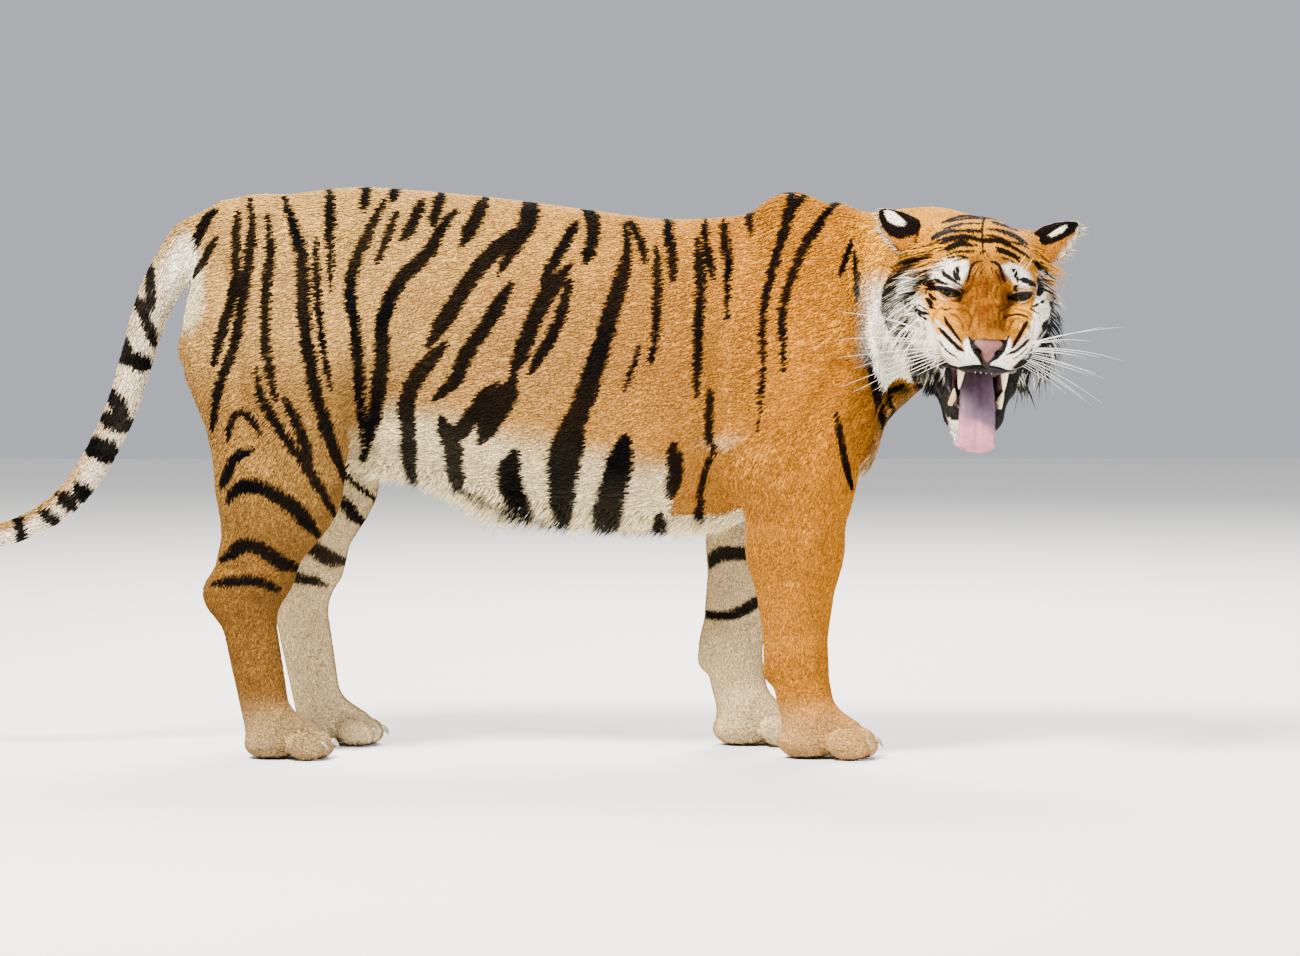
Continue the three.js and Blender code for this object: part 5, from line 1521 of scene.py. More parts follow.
def unwrap_places(p, n, part):
    """A place in the unit square for each point of the skin: each kind of coat is laid out by the way it
    faces, in its own rectangle."""
    axis = np.argmax(np.abs(n), axis=1)
    chart = part * 6 + axis * 2 + (n[np.arange(len(n)), axis] > 0)
    flat = np.choose(axis[:, None], (p[:, [1, 2]], p[:, [0, 2]], p[:, [0, 1]]))
    charts = []
    for c in np.unique(chart):
        q = flat[chart == c]
        charts.append((c, q.min(axis=0) - 12, q.max(axis=0) - q.min(axis=0) + 24))
    charts.sort(key=lambda item: -item[2][1])
    width = 1.15 * math.sqrt(sum(s[0] * s[1] for _, _, s in charts))
    width = max(width, max(s[0] for _, _, s in charts))
    x = y = row = 0
    corner = {}
    for c, low, size in charts:
        if x + size[0] > width:
            x, y, row = 0, y + row, 0
        corner[c] = np.array((x, y)) - low
        x, row = x + size[0], max(row, size[1])
    whole = max(width, y + row)
    moved = flat + np.stack([corner[c] for c in chart])
    return 0.004 + 0.992 * moved / whole


PIECE_TRIANGLES = 190000  # the most in one piece of coat

# A tuft's corners: share of its length, share of its width, share of its width in height.
SHORT_TUFT = ((0, 0, -0.25), (0.34, -0.5, 0), (0.34, 0.5, 0), (0.3, 0, 0.42), (1, 0, 0))
SHORT_FACES = ((0, 2, 1), (0, 3, 2), (0, 1, 3), (4, 1, 2), (4, 2, 3), (4, 3, 1))
LONG_TUFT = (
    (0, 0, -0.3),
    (0.2, -0.42, 0),
    (0.2, 0.42, 0),
    (0.18, 0, 0.36),
    (0.6, -0.42, 0),
    (0.6, 0.42, 0),
    (0.58, 0, 0.3),
    (1, 0, 0),
)
LONG_FACES = (
    *((0, 2, 1), (0, 3, 2), (0, 1, 3)),
    *((1, 2, 5), (1, 5, 4), (2, 3, 6), (2, 6, 5), (3, 1, 4), (3, 4, 6)),
    *((7, 4, 5), (7, 5, 6), (7, 6, 4)),
)


def tuft_mesh(name, shape, faces, root, along, over, size, width, curl, colours, uv, mat):
    """One mesh of many tufts: each a closed spindle from its root, bending from over to along. Its colours
    are those at equal steps from root to tip."""
    count, corners = len(root), len(shape)
    across = np.cross(along, over)
    body = []
    for t, w, v in shape:
        bend = curl * t * (1 - t) * 1.9
        place = root + (t * size)[:, None] * along + (bend * size)[:, None] * over
        body.append(place + (w * width)[:, None] * across + (v * width)[:, None] * over)
    p = np.stack(body, axis=1).reshape(-1, 3)
    p[:, 2] = np.maximum(p[:, 2], 0.5)
    f = (np.arange(count)[:, None, None] * corners + np.array(faces)[None]).reshape(-1, 3)
    mesh = bpy.data.meshes.new(name)
    mesh.vertices.add(len(p))
    mesh.vertices.foreach_set("co", metres(p).ravel())
    mesh.loops.add(f.size)
    mesh.loops.foreach_set("vertex_index", f.ravel())
    mesh.polygons.add(len(f))
    mesh.polygons.foreach_set("loop_start", np.arange(0, f.size, 3))
    mesh.polygons.foreach_set("loop_total", np.full(len(f), 3))
    mesh.polygons.foreach_set("use_smooth", np.ones(len(f), dtype=bool))
    mesh.update(calc_edges=True)
    shares = np.array([t for t, _, _ in shape])
    shade = 0.72 + 0.5 * np.clip(shares * 1.4, 0, 1)
    steps = shares * (colours.shape[1] - 1)
    before = np.minimum(steps.astype(int), colours.shape[1] - 2)
    part_way = (steps - before)[None, :, None]
    hair = colours[:, before] * (1 - part_way) + colours[:, before + 1] * part_way
    hair = hair * shade[None, :, None]
    paint(mesh, "pelt", np.clip(hair.reshape(-1, 3), 0.001, 1))
    spots = np.array([(w * 0.0024, (t - 0.5) * 0.0026) for t, w, _ in shape])
    places = (uv[:, None, :] + spots[None]).reshape(-1, 2)
    layer = mesh.uv_layers.new(name="OFBake")
    layer.data.foreach_set("uv", places[f.ravel()].ravel().astype(np.float32))
    mesh.materials.append(mat)
    return new_object(name, mesh)


def skin_data():
    """The skin's mesh, points, normals and kinds of coat, and how bare it is at each."""
    mesh = bpy.data.objects["skin"].data
    part = np.round(stored(mesh, "kind")).astype(int)
    return mesh, points_of(mesh), normals_of(mesh), part, stored(mesh, "bare")


def covering(layers, size, width):
    """How many tufts a square millimetre needs, for so many layers of them."""
    return layers / (size * width * 0.5) * 1


def sow(p, tri, density, rng):
    """Roots spread over triangles: which triangle each is on, and its shares of the three corners."""
    a, b, c = p[tri[:, 0]], p[tri[:, 1]], p[tri[:, 2]]
    size = np.linalg.norm(np.cross(b - a, c - a), axis=1) / 2
    wanted = size * density[tri].mean(axis=1)
    number = np.floor(wanted + rng.random(len(tri))).astype(int)
    face = np.repeat(np.arange(len(tri)), number)
    u, v = rng.random(len(face)), rng.random(len(face))
    over = u + v > 1
    u[over], v[over] = 1 - u[over], 1 - v[over]
    return face, np.stack((1 - u - v, u, v), axis=1)


def at_roots(values, tri, face, shares):
    corners = values[tri[face]]
    return (corners * (shares if values.ndim == 1 else shares[:, :, None])).sum(axis=1)




def coat_pieces(name, slot, shape, faces, mat, roots, **values):
    """Splits a coat into pieces that each stay small enough, and makes them."""
    most = PIECE_TRIANGLES // len(faces)
    parts = max(1, math.ceil(len(roots) / most))
    order = np.argsort(roots[:, 0], kind="stable")
    made = []
    for i, chosen in enumerate(np.array_split(order, parts)):
        title = name if parts == 1 else f"{name}_{i + 1}"
        own = {key: value[chosen] for key, value in values.items()}
        made.append(tuft_mesh(title, shape, faces, roots[chosen], mat=mat, **own))
    return made


def tipped(colours, rng):
    """One colour along each tuft, but at the tip a little darker or lighter by chance, each tuft differing
    from the next.
    """
    tips = np.clip(colours * rng.uniform(0.85, 1.06, len(colours))[:, None] + 0.002, 0, 1)
    return np.stack((colours, colours, tips), axis=1)


class TIGER_OT_coat(bpy.types.Operator):
    """Short tufts over the whole skin, lying along the coat and coloured by the markings"""

    bl_idname = "tiger.coat"
    bl_label = "Coat"

    def execute(self, context):
        look = context.scene.tiger_coat
        rng = np.random.default_rng(11)
        mesh, p, n, part, hairless = skin_data()
        net = Net(mesh)
        tri = triangles_of(mesh)
        lie = lie_of_coat(p, n, part)
        lie = unit(net.even(lie, 24, 0.6))
        size = net.even(hair_length(p, part), 10)
        uv = unwrap_places(p, n, part)
        mat = coat_material("short hair", 420, 0.58)
        width = np.clip(size * 0.17, 1.0, 3.0) * np.where(part == HEAD, 1.0, 1.3)
        density = covering(look.thickness, size, width) * (1 - ramp(hairless, 0.3, 0.7))
        face, shares = sow(p, tri, density, rng)
        corner = tri[face, np.argmax(shares, axis=1)]
        kind = part[corner]
        root = at_roots(p, tri, face, shares)
        up = unit(at_roots(n, tri, face, shares))
        way = unit(at_roots(lie, tri, face, shares) + rng.normal(0, 0.1, (len(face), 3)))
        way = unit(way - up * dots(way, up)[:, None])
        long = at_roots(size, tri, face, shares) * rng.uniform(0.75, 1.2, len(face))
        wide = at_roots(width, tri, face, shares) * rng.uniform(0.8, 1.2, len(face))
        rise = np.radians(rng.uniform(4, 11, len(face)))
        along = np.cos(rise)[:, None] * way + np.sin(rise)[:, None] * up
        over = unit(up - along * dots(up, along)[:, None])
        middle = root + along * (0.5 * long)[:, None]
        colours = coat_colours(middle, up, kind) * rng.uniform(0.74, 1.12, len(face))[:, None]
        colours = tipped(colours, rng)
        curl = rng.uniform(0.05, 0.16, len(face))
        for which, title in enumerate(COATS):
            chosen = kind == which
            coat_pieces(
                f"coat_{title}",
                "striped_fur",
                SHORT_TUFT,
                SHORT_FACES,
                mat,
                root[chosen] - up[chosen] * 0.6,
                along=along[chosen],
                over=over[chosen],
                size=long[chosen],
                width=wide[chosen],
                curl=curl[chosen],
                colours=colours[chosen],
                uv=uv[corner[chosen]],
            )
        return {"FINISHED"}


# ---------------------------------------------------------------- long hair

RUFF_ROOTS = ((-104, 88, 24), (-98, 102, -32), (-96, 104, -78), (-92, 92, -116), (-88, 62, -134))
RUFF_TIPS = ((-158, 134, 24), (-160, 168, -56), (-146, 172, -116), (-128, 146, -172), (-116, 84, -206))
RUFF_AHEAD = {"right": 46, "left": 0}
# Along the belly: X, the level the fringe grows from and its length.
FRINGE = rows((
    (-560, 512, 4), (-470, 492, 33), (-330, 462, 36), (-262, 438, 56),
    (-150, 418, 38), (20, 402, 34), (110, 402, 33), (190, 405, 10),
))  # fmt: skip
FRINGE_LENGTH = 52  # the setting at which the lengths above hold
CHIN_LENGTH = 32
LOCK_WIDTH, SHORTEST_LOCK = 3.4, 9


def long_hair(p, n, part):
    """For each point of the skin: how long the long hair is there, and which way it hangs."""
    look = bpy.context.scene.tiger_coat
    h = to_head(p)
    size, way = np.zeros(len(p)), np.zeros((len(p), 3))
    for name, side in SIDES.items():
        ahead = RUFF_AHEAD[name]
        roots, tips = (smooth_line(rows(line) * (1, side, 1), 16) for line in (RUFF_ROOTS, RUFF_TIPS))
        roots[:, 0] += ahead
        tips[:, 0] += 1.4 * ahead
        lean = unit(np.roll(tips, -2, axis=0) - roots)
        lean[-2:] = unit(tips[-2:] - roots[-2:])
        away, out = near_line(h, roots, lean)
        here = (1 - ramp(away, 34, 62)) * (side * h[:, 1] > 30) * (part != TAIL) * (h[:, 0] < 10 + ahead)
        down_cheek = ramp(h[:, 2], -40, -150)
        found = look.ruff_hair * 1000 * here * (1 - (0.5 if side < 0 else 0) * down_cheek)
        better = found > size
        size[better], way[better] = found[better], (out @ HEAD_TURN.T)[better]
    level, depth = (np.interp(p[:, 0], FRINGE[:, 0], FRINGE[:, k]) for k in (1, 2))
    under = (part == TRUNK_PART) * (1 - ramp(p[:, 2] - level, 6, 46)) * (1 - ramp(np.abs(p[:, 1]), 70, 120))
    under = under * ramp(p[:, 0], -560, -500) * (1 - ramp(p[:, 0], 130, 200)) * ramp(-n[:, 2], 0.1, 0.6)
    found = depth * 1.25 * under * look.fringe_hair * 1000 / FRINGE_LENGTH
    better = found > size
    size[better] = found[better]
    way[better] = unit(np.array((-0.75, 0, -1.0)))
    chin = 1 - ramp(np.linalg.norm(h - opened((78, 0, -140))[0], axis=1), 26, 46)
    found = CHIN_LENGTH * chin * (part == HEAD)
    better = found > size
    size[better] = found[better]
    way[better] = np.array((-0.25, 0, -1.0)) @ HEAD_TURN.T
    return size, way


class TIGER_OT_long_hair(bpy.types.Operator):
    """Long locks: the ruff round the cheeks, the fringe under the belly and the tuft on the chin"""

    bl_idname = "tiger.long_hair"
    bl_label = "Long Hair"

    def execute(self, context):
        rng = np.random.default_rng(23)
        mesh, p, n, part, hairless = skin_data()
        size, way = long_hair(p, n, part)
        tri = triangles_of(mesh)
        uv = unwrap_places(p, n, part)
        density = covering(1.5, np.maximum(size, SHORTEST_LOCK), LOCK_WIDTH)
        density *= (size > SHORTEST_LOCK) & (hairless < 0.5)
        face, shares = sow(p, tri, density, rng)
        corner = tri[face, np.argmax(shares, axis=1)]
        root = at_roots(p, tri, face, shares)
        up = unit(at_roots(n, tri, face, shares))
        along = unit(at_roots(way, tri, face, shares) + rng.normal(0, 0.12, (len(face), 3)))
        along = unit(along + up * np.maximum(0.12 - dots(along, up), 0)[:, None])
        over = unit(up - along * dots(up, along)[:, None])
        long = at_roots(size, tri, face, shares) * rng.uniform(0.7, 1.15, len(face))
        shade = rng.uniform(0.82, 1.08, len(face))[:, None]
        kind = part[corner]
        reaches = np.arange(6) / 5
        colours = [coat_colours(root + along * (r * long)[:, None], up, kind) for r in reaches]
        colours = np.stack(colours, axis=1) * shade[:, :, None] * (1 + 0.12 * reaches)[None, :, None]
        colours = np.clip(colours, 0.001, 1)
        mat = coat_material("long hair", 300, 0.5)
        belly = kind == TRUNK_PART
        for title, chosen, solids in (
            ("ruff_hair", ~belly, ("ruff_left", "ruff_right")),
            ("belly_hair", belly, ("belly_fringe",)),
        ):
            made = coat_pieces(
                title,
                "long_fur",
                LONG_TUFT,
                LONG_FACES,
                mat,
                root[chosen] - up[chosen],
                along=along[chosen],
                over=over[chosen],
                size=long[chosen],
                width=LOCK_WIDTH * rng.uniform(0.7, 1.3, chosen.sum()),
                curl=rng.uniform(0.1, 0.2, chosen.sum()),
                colours=colours[chosen],
                uv=uv[corner[chosen]],
            )
            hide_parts(*solids)
        return {"FINISHED"}


# ---------------------------------------------------------------- ears


class TIGER_OT_ears(bpy.types.Operator):
    """The cups of the ears, black behind with a white spot, with pale hair inside"""

    bl_idname = "tiger.ears"
    bl_label = "Ears"

    def execute(self, context):
        rng = np.random.default_rng(31)
        mat = coat_material("ear hair", 420, 0.6)
        for name, side in SIDES.items():
            obj = copy_of([f"ear_{name}"], f"{name}_ear", 2.6)
            mesh = obj.data
            net = Net(mesh)
            p = net.even(points_of(mesh), 6, 0.5)
            move_points(mesh, p)
            p, n = points_of(mesh), normals_of(mesh)
            part = np.full(len(p), EAR)
            paint(mesh, "pelt", coat_colours(p, n, part))
            shade_smooth(mesh)
            mesh.materials.append(mat)
            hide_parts(f"ear_{name}")
            root = from_head((-138, side * 98, 50))[0]
            tip = from_head((-166, side * 170, 98))[0]
            way = unit(tip - root)
            tri = triangles_of(mesh)
            uv = unwrap_places(p, n, part)
            inner = ramp(n @ HEAD_TURN[:, 0], -0.2, -0.5)
            size = 7 + 17 * inner
            width = 1.5 + 0.4 * inner
            face, shares = sow(p, tri, covering(1.5, size, width), rng)
            corner = tri[face, np.argmax(shares, axis=1)]
            at = at_roots(p, tri, face, shares)
            up = unit(at_roots(n, tri, face, shares))
            outer = unit(from_head((0, side * 0.8, -0.75))[0] - from_head((0, 0, 0))[0])
            lie = way + inner[corner][:, None] * 1.6 * outer + rng.normal(0, 0.18, (len(face), 3))
            lie = unit(lie - up * dots(lie, up)[:, None])
            along = unit(lie + up * (0.08 + 0.1 * inner[corner])[:, None])
            over = unit(up - along * dots(up, along)[:, None])
            colours = coat_colours(at, up, part[corner]) * rng.uniform(0.85, 1.1, len(face))[:, None]
            coat_pieces(
                f"{name}_ear_hair",
                "ear_fur",
                SHORT_TUFT,
                SHORT_FACES,
                mat,
                at - up * 0.4,
                along=along,
                over=over,
                size=size[corner] * rng.uniform(0.7, 1.1, len(face)),
                width=width[corner],
                curl=rng.uniform(0.05, 0.15, len(face)),
                colours=tipped(colours, rng),
                uv=uv[corner],
            )
        return {"FINISHED"}


# ---------------------------------------------------------------- eyes

EYE_TURN = 9.0  # how far each eye looks outwards, in degrees
LID_POINTS = 56


def eye_material(side, look):
    """An iris of streaks round a dark round pupil, darker at its rim, under a wet surface."""
    shine = {"Coat_Weight": 0.06, "Coat_Roughness": 0.02, "Specular_IOR_Level": 0.08}
    mat, tree, bsdf = material("eyeball", 0.1, **shine)
    middle = metres(from_head((EYE_AT[0], side * EYE_AT[1], EYE_AT[2])))[0]
    ahead = unit(HEAD_TURN @ np.array((1, side * math.tan(math.radians(EYE_TURN)), -0.02)))
    place = node(tree, "ShaderNodeTexCoord").outputs["Object"]

    def vector(operation, output=0, **inputs):
        return node(tree, "ShaderNodeVectorMath", {"operation": operation}, **inputs).outputs[output]

    way = vector("NORMALIZE", _0=vector("SUBTRACT", _0=place, _1=tuple(middle)))
    facing = vector("DOT_PRODUCT", "Value", _0=way, _1=tuple(ahead))
    fleck = noise(tree, 700, 3, 0.6)
    moved = node(tree, "ShaderNodeMath", {"operation": "MULTIPLY_ADD"}, _0=fleck, _1=0.014, _2=facing)
    ramp_node = node(tree, "ShaderNodeValToRGB", Fac=moved.outputs[0])
    stops = ramp_node.color_ramp.elements
    iris = np.array(look.iris)
    rings = (
        (0.0, (0.02, 0.014, 0.012)),
        (0.80, (0.012, 0.009, 0.008)),
        (0.835, tuple(iris * 0.5)),
        (0.88, tuple(iris)),
        (0.925, tuple(iris * 1.4)),
        (0.95, tuple(iris * 0.6)),
        (0.958, (0.0015, 0.0015, 0.0015)),
    )
    while len(stops) < len(rings):
        stops.new(0.5)
    for stop, (at, tint) in zip(stops, rings):
        stop.position, stop.color = at, (*tint, 1)
    streaks = spread(tree, noise(tree, 420, 5, 0.7), 0.75, 1.25)
    tree.links.new(scaled(tree, ramp_node.outputs["Color"], streaks), bsdf.inputs["Base Color"])
    roughen(tree, bsdf, fleck, 0.08, 0.16)
    bump(tree, bsdf, fleck, 0.05, 0.0003)
    return mat


def lid_rim_material():
    shine = {"Coat_Weight": 0.02, "Coat_Roughness": 0.15, "Specular_IOR_Level": 0.08}
    mat, tree, bsdf = material("lid rim", 0.4, **shine)
    speckle = noise(tree, 500, 4)
    colour_between(tree, bsdf, speckle, (0.003, 0.0025, 0.0025), (0.01, 0.008, 0.008))
    roughen(tree, bsdf, speckle, 0.22, 0.4)
    bump(tree, bsdf, speckle, 0.4, 0.0004)
    return mat


class TIGER_OT_eyes(bpy.types.Operator):
    """The eyeballs, and the dark wet rims of their lids"""

    bl_idname = "tiger.eyes"
    bl_label = "Eyes"

    def execute(self, context):
        look = context.scene.tiger_head
        rim_mat = lid_rim_material()
        for name, side in SIDES.items():
            bm = bmesh.new()
            bmesh.ops.create_uvsphere(bm, u_segments=64, v_segments=40, radius=EYE_RADIUS)
            bmesh.ops.rotate(bm, verts=bm.verts, matrix=Matrix.Rotation(math.radians(90), 3, "Y"))
            bulge = Vector((1, side * math.tan(math.radians(EYE_TURN)), -0.02)).normalized()
            for v in bm.verts:
                facing = v.co.normalized().dot(bulge)
                v.co += bulge * 1.6 * float(ramp(facing, 0.86, 1.0))
            bmesh.ops.translate(bm, verts=bm.verts, vec=(EYE_AT[0], side * EYE_AT[1], EYE_AT[2]))
            turn_to_body(bm)
            obj = from_bmesh(bm, f"{name}_eyeball", eye_material(side, look))
            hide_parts(f"eye_{name}")
            outline = []
            for k in range(LID_POINTS):
                angle = 2 * math.pi * k / LID_POINTS
                a = EYE_SLIT[0] * math.cos(angle)
                u = float(eye_edge(np.array([a]), math.sin(angle) > 0)[0])
                outline.append((a, u))
            c, s = math.cos(math.radians(EYE_SLANT)), math.sin(math.radians(EYE_SLANT))
            ring = []
            for a, u in outline:
                reach = math.sqrt(max((EYE_RADIUS + 2.2) ** 2 - a * a - u * u, 4))
                out, high = c * a - s * u, s * a + c * u
                ring.append((EYE_AT[0] + reach, side * (EYE_AT[1] + out), EYE_AT[2] + high))
            radii = [2.3 + 1.1 * math.sin(2 * math.pi * k / LID_POINTS) for k in range(LID_POINTS)]
            obj = tube(from_head(ring), radii, f"{name}_lid_rim", rim_mat, 8, closed=True)
        return {"FINISHED"}


def sweep(bm, line, radii, sides=8, closed=False, flat=1.0, guide=(0, 0, 1.0)):
    """Adds a round or flat tube along a line, in rings, with its ends closed."""
    line = rows(line)
    if closed:
        ways = unit(np.roll(line, -1, axis=0) - np.roll(line, 1, axis=0))
    else:
        ways = unit(np.gradient(line, axis=0))
    rings = []
    for at, way, radius in zip(line, ways, radii):
        across = unit(np.cross(way, guide))
        up = np.cross(across, way)
        ring = bmesh.ops.create_circle(bm, segments=sides, radius=1.0)["verts"]
        for v in ring:
            v.co = Vector(at + radius * (v.co.x * across + v.co.y * flat * up))
        rings.append(ring)
    for one, two in list(zip(rings[:-1], rings[1:])) + ([(rings[-1], rings[0])] if closed else []):
        for k in range(sides):
            bm.faces.new((one[k - 1], one[k], two[k], two[k - 1]))
    if not closed:
        bm.faces.new(rings[0][::-1])
        bm.faces.new(rings[-1])


def tube(line, radii, name, mat, sides=8, **shape):
    bm = bmesh.new()
    sweep(bm, line, radii, sides, **shape)
    return from_bmesh(bm, name, mat)


def bent(start, middle, end, count):
    """Points along a line from start to end, pulled towards a middle."""
    start, middle, end = (np.array(v, dtype=float) for v in (start, middle, end))
    t = np.linspace(0, 1, count)[:, None]
    return (1 - t) ** 2 * start + 2 * t * (1 - t) * middle + t * t * end


# ---------------------------------------------------------------- nose, lips, teeth and tongue

NOSE_FORMS = [mass((113, 0, -71), (19, 30, 15), 8, 10), limb((115, 0, -77), (110, 0, -101), 16, 8, 8)]
NOSTRILS = both(lambda s: mass((125, s * 17, -79), (14, 7, 5.5), 3, 20))


def nose_field(p):
    h = to_head(p)
    return -blended(-joined(NOSE_FORMS, h), joined(NOSTRILS, h), 3)


def wet_material(name, first, second, scale, rough, raised):
    """Bare wet skin in two colours, with pebbles or wrinkles."""
    shine = {"Coat_Weight": 0.04, "Coat_Roughness": 0.12, "Specular_IOR_Level": 0.1}
    mat, tree, bsdf = material(name, rough, **shine)
    patch = noise(tree, scale, 5)
    colour_between(tree, bsdf, spread(tree, patch, 0, 1), first, second)
    roughen(tree, bsdf, patch, rough - 0.1, rough + 0.12)
    pebble(tree, bsdf, scale * 3.2, raised, 0.0009)
    return mat


def nose_material():
    """Pebbled bare leather in its painted colours."""
    shine = {"Coat_Weight": 0.03, "Coat_Roughness": 0.2, "Specular_IOR_Level": 0.12}
    mat, tree, bsdf = material("nose leather", 0.42, **shine)
    patch = noise(tree, 240, 5)
    colour_painted(tree, bsdf, patch, 0.62, 1.15)
    roughen(tree, bsdf, patch, 0.34, 0.55)
    pebble(tree, bsdf, 620, 0.5, 0.0008)
    return mat


class TIGER_OT_nose(bpy.types.Operator):
    """The bare pad of the nose"""

    bl_idname = "tiger.nose"
    bl_label = "Nose"

    def execute(self, context):
        look = context.scene.tiger_head
        obj = copy_of(["nose"], "nose_pad", 1.7)
        settle(obj.data, nose_field, lambda p: np.full(len(p), -0.4), 5, 0.4)
        shade_smooth(obj.data)
        p = points_of(obj.data)
        h = to_head(p)
        reach = np.interp(h[:, 2], (-98, -90, -80, -70, -60), (0, 6, 12, 19, 27))
        rim = ramp(np.abs(h[:, 1]) + 2 * ripple(p, 9, 5) - reach, -2.5, 2.5)
        rim = np.maximum(rim, 0.7 * ramp(h[:, 2], -62, -58))
        tint = np.array(look.nose)
        paint(obj.data, "pelt", mix(tint, tint * 0.05, rim))
        obj.data.materials.append(nose_material())
        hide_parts("nose")
        return {"FINISHED"}


def surface_from(point, way):
    """Where the flesh ends, from a point of the head's frame along a direction."""
    steps = np.arange(0, 90, 1.0)
    line = rows(point) + steps[:, None] * np.array(way)
    outside = np.flatnonzero(flesh(from_head(line)) >= 0)
    return line[outside[0] if len(outside) else -1]


UPPER_GUM = ((0, 40, -96), (44, 38, -96), (74, 31, -96), (86, 10, -98))
LOWER_GUM = ((-16, 42, -130), (26, 42, -130), (54, 40, -130), (74, 30, -130))
GUM_RADIUS = 8.0
JAW_UP = JAW_TURN @ np.array((0, 0, 1.0))


def tooth(bm, base, tip, thick, bend, sides=12, rings=9):
    """A cone along a bent line, rounded at its point."""
    base, tip = np.array(base, dtype=float), np.array(tip, dtype=float)
    t = np.linspace(0, 1, rings)
    radii = thick * np.maximum(1 - t, 0) ** 0.62 * (1 - 0.12 * t) + 0.2
    line = bent(base, (base + tip) / 2 + np.array(bend), tip, rings)
    sweep(bm, line, radii, sides, guide=(0.1, 1.0, 0.1))


class TIGER_OT_mouth(bpy.types.Operator):
    """The black lips, the gums and the teeth"""

    bl_idname = "tiger.mouth"
    bl_label = "Mouth"

    def execute(self, context):
        look = context.scene.tiger_head
        lips = wet_material("black lip", (0.004, 0.003, 0.0035), (0.014, 0.01, 0.011), 120, 0.3, 0.4)
        for name in ("lip_upper", "lip_lower"):
            obj = copy_of([name], name.replace("lip_", "") + "_lip", 1.8)
            p = Net(obj.data).even(points_of(obj.data), 8, 0.5)
            move_points(obj.data, p)
            lumps = 1.4 + 1.6 * ripple(p, 16, 21)
            move_points(obj.data, p + normals_of(obj.data) * lumps[:, None])
            shade_smooth(obj.data)
            obj.data.materials.append(lips)
            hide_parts(name)
        gum = wet_material("gum", (0.1, 0.04, 0.042), (0.02, 0.009, 0.011), 90, 0.35, 0.3)
        upper = [surface_from(p, (0, 0, -1)) for p in UPPER_GUM]
        upper += [np.array((x, -y, z)) for x, y, z in upper[::-1]]
        line = smooth_line(upper, 40)
        obj = tube(from_head(line), [GUM_RADIUS] * len(line), "upper_gum", gum, 12)
        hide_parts("gums_upper")
        lower = [surface_from(p, JAW_UP) for p in opened(LOWER_GUM)]
        for name, side in SIDES.items():
            line = smooth_line([(x, side * y, z) for x, y, z in lower], 20)
            obj = tube(from_head(line), [GUM_RADIUS] * len(line), f"lower_gum_{name}", gum, 12)
            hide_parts(f"gums_lower_{name}")
        bm = bmesh.new()
        for side in SIDES.values():
            tooth(bm, (76, side * 37, -106), (80, side * 39, -157), 9, (5, 0, 0), 16, 12)
            base, tip = opened(((62, side * 39, -114), (70, side * 43, -62)))
            tooth(bm, base, tip, 8.5, (4, 0, 0), 16, 12)
            for k in (0.5, 1.5, 2.5):
                tooth(bm, (86 - k * 1.5, side * k * 9.5, -108), (88, side * k * 9.5, -125), 4.6, (1, 0, 0))
                base, tip = opened(((82 - k * 1.5, side * k * 8, -124), (84, side * k * 8, -108)))
                tooth(bm, base, tip, 4.2, (0.5, 0, 0))
            for x, deep, wide in ((46, 16, 6), (22, 22, 8)):
                tooth(bm, (x, side * 40, -105), (x + 2, side * 40, -109 - deep), wide, (0, 0, 0))
                base, tip = opened(((x - 8, side * 41, -124), (x - 6, side * 42, -112 + deep * 0.6)))
                tooth(bm, base, tip, wide, (0, 0, 0))
        turn_to_body(bm)
        mat, tree, bsdf = material("tooth ivory", 0.3, Coat_Weight=0.4, Coat_Roughness=0.1)
        grain = noise(tree, 160, 5)
        stained = np.array(look.ivory) * np.array((0.72, 0.62, 0.45))
        colour_between(tree, bsdf, spread(tree, grain, 0, 1), look.ivory, stained)
        roughen(tree, bsdf, grain, 0.22, 0.4)
        bump(tree, bsdf, noise(tree, 500, 3), 0.12, 0.0004)
        from_bmesh(bm, "teeth", mat)
        return {"FINISHED"}


def tongue_material():
    """Wet flesh with fine bristles, in its painted colours."""
    shine = {"Coat_Weight": 0.06, "Coat_Roughness": 0.2, "Specular_IOR_Level": 0.2}
    glow = {"Subsurface_Weight": 0.15, "Subsurface_Radius": (0.006, 0.002, 0.0015)}
    mat, tree, bsdf = material("tongue", 0.36, **shine, **glow)
    patch = noise(tree, 130, 5)
    colour_painted(tree, bsdf, patch, 0.84, 1.12)
    roughen(tree, bsdf, patch, 0.28, 0.5)
    pebble(tree, bsdf, 520, 0.6, 0.0012)
    return mat


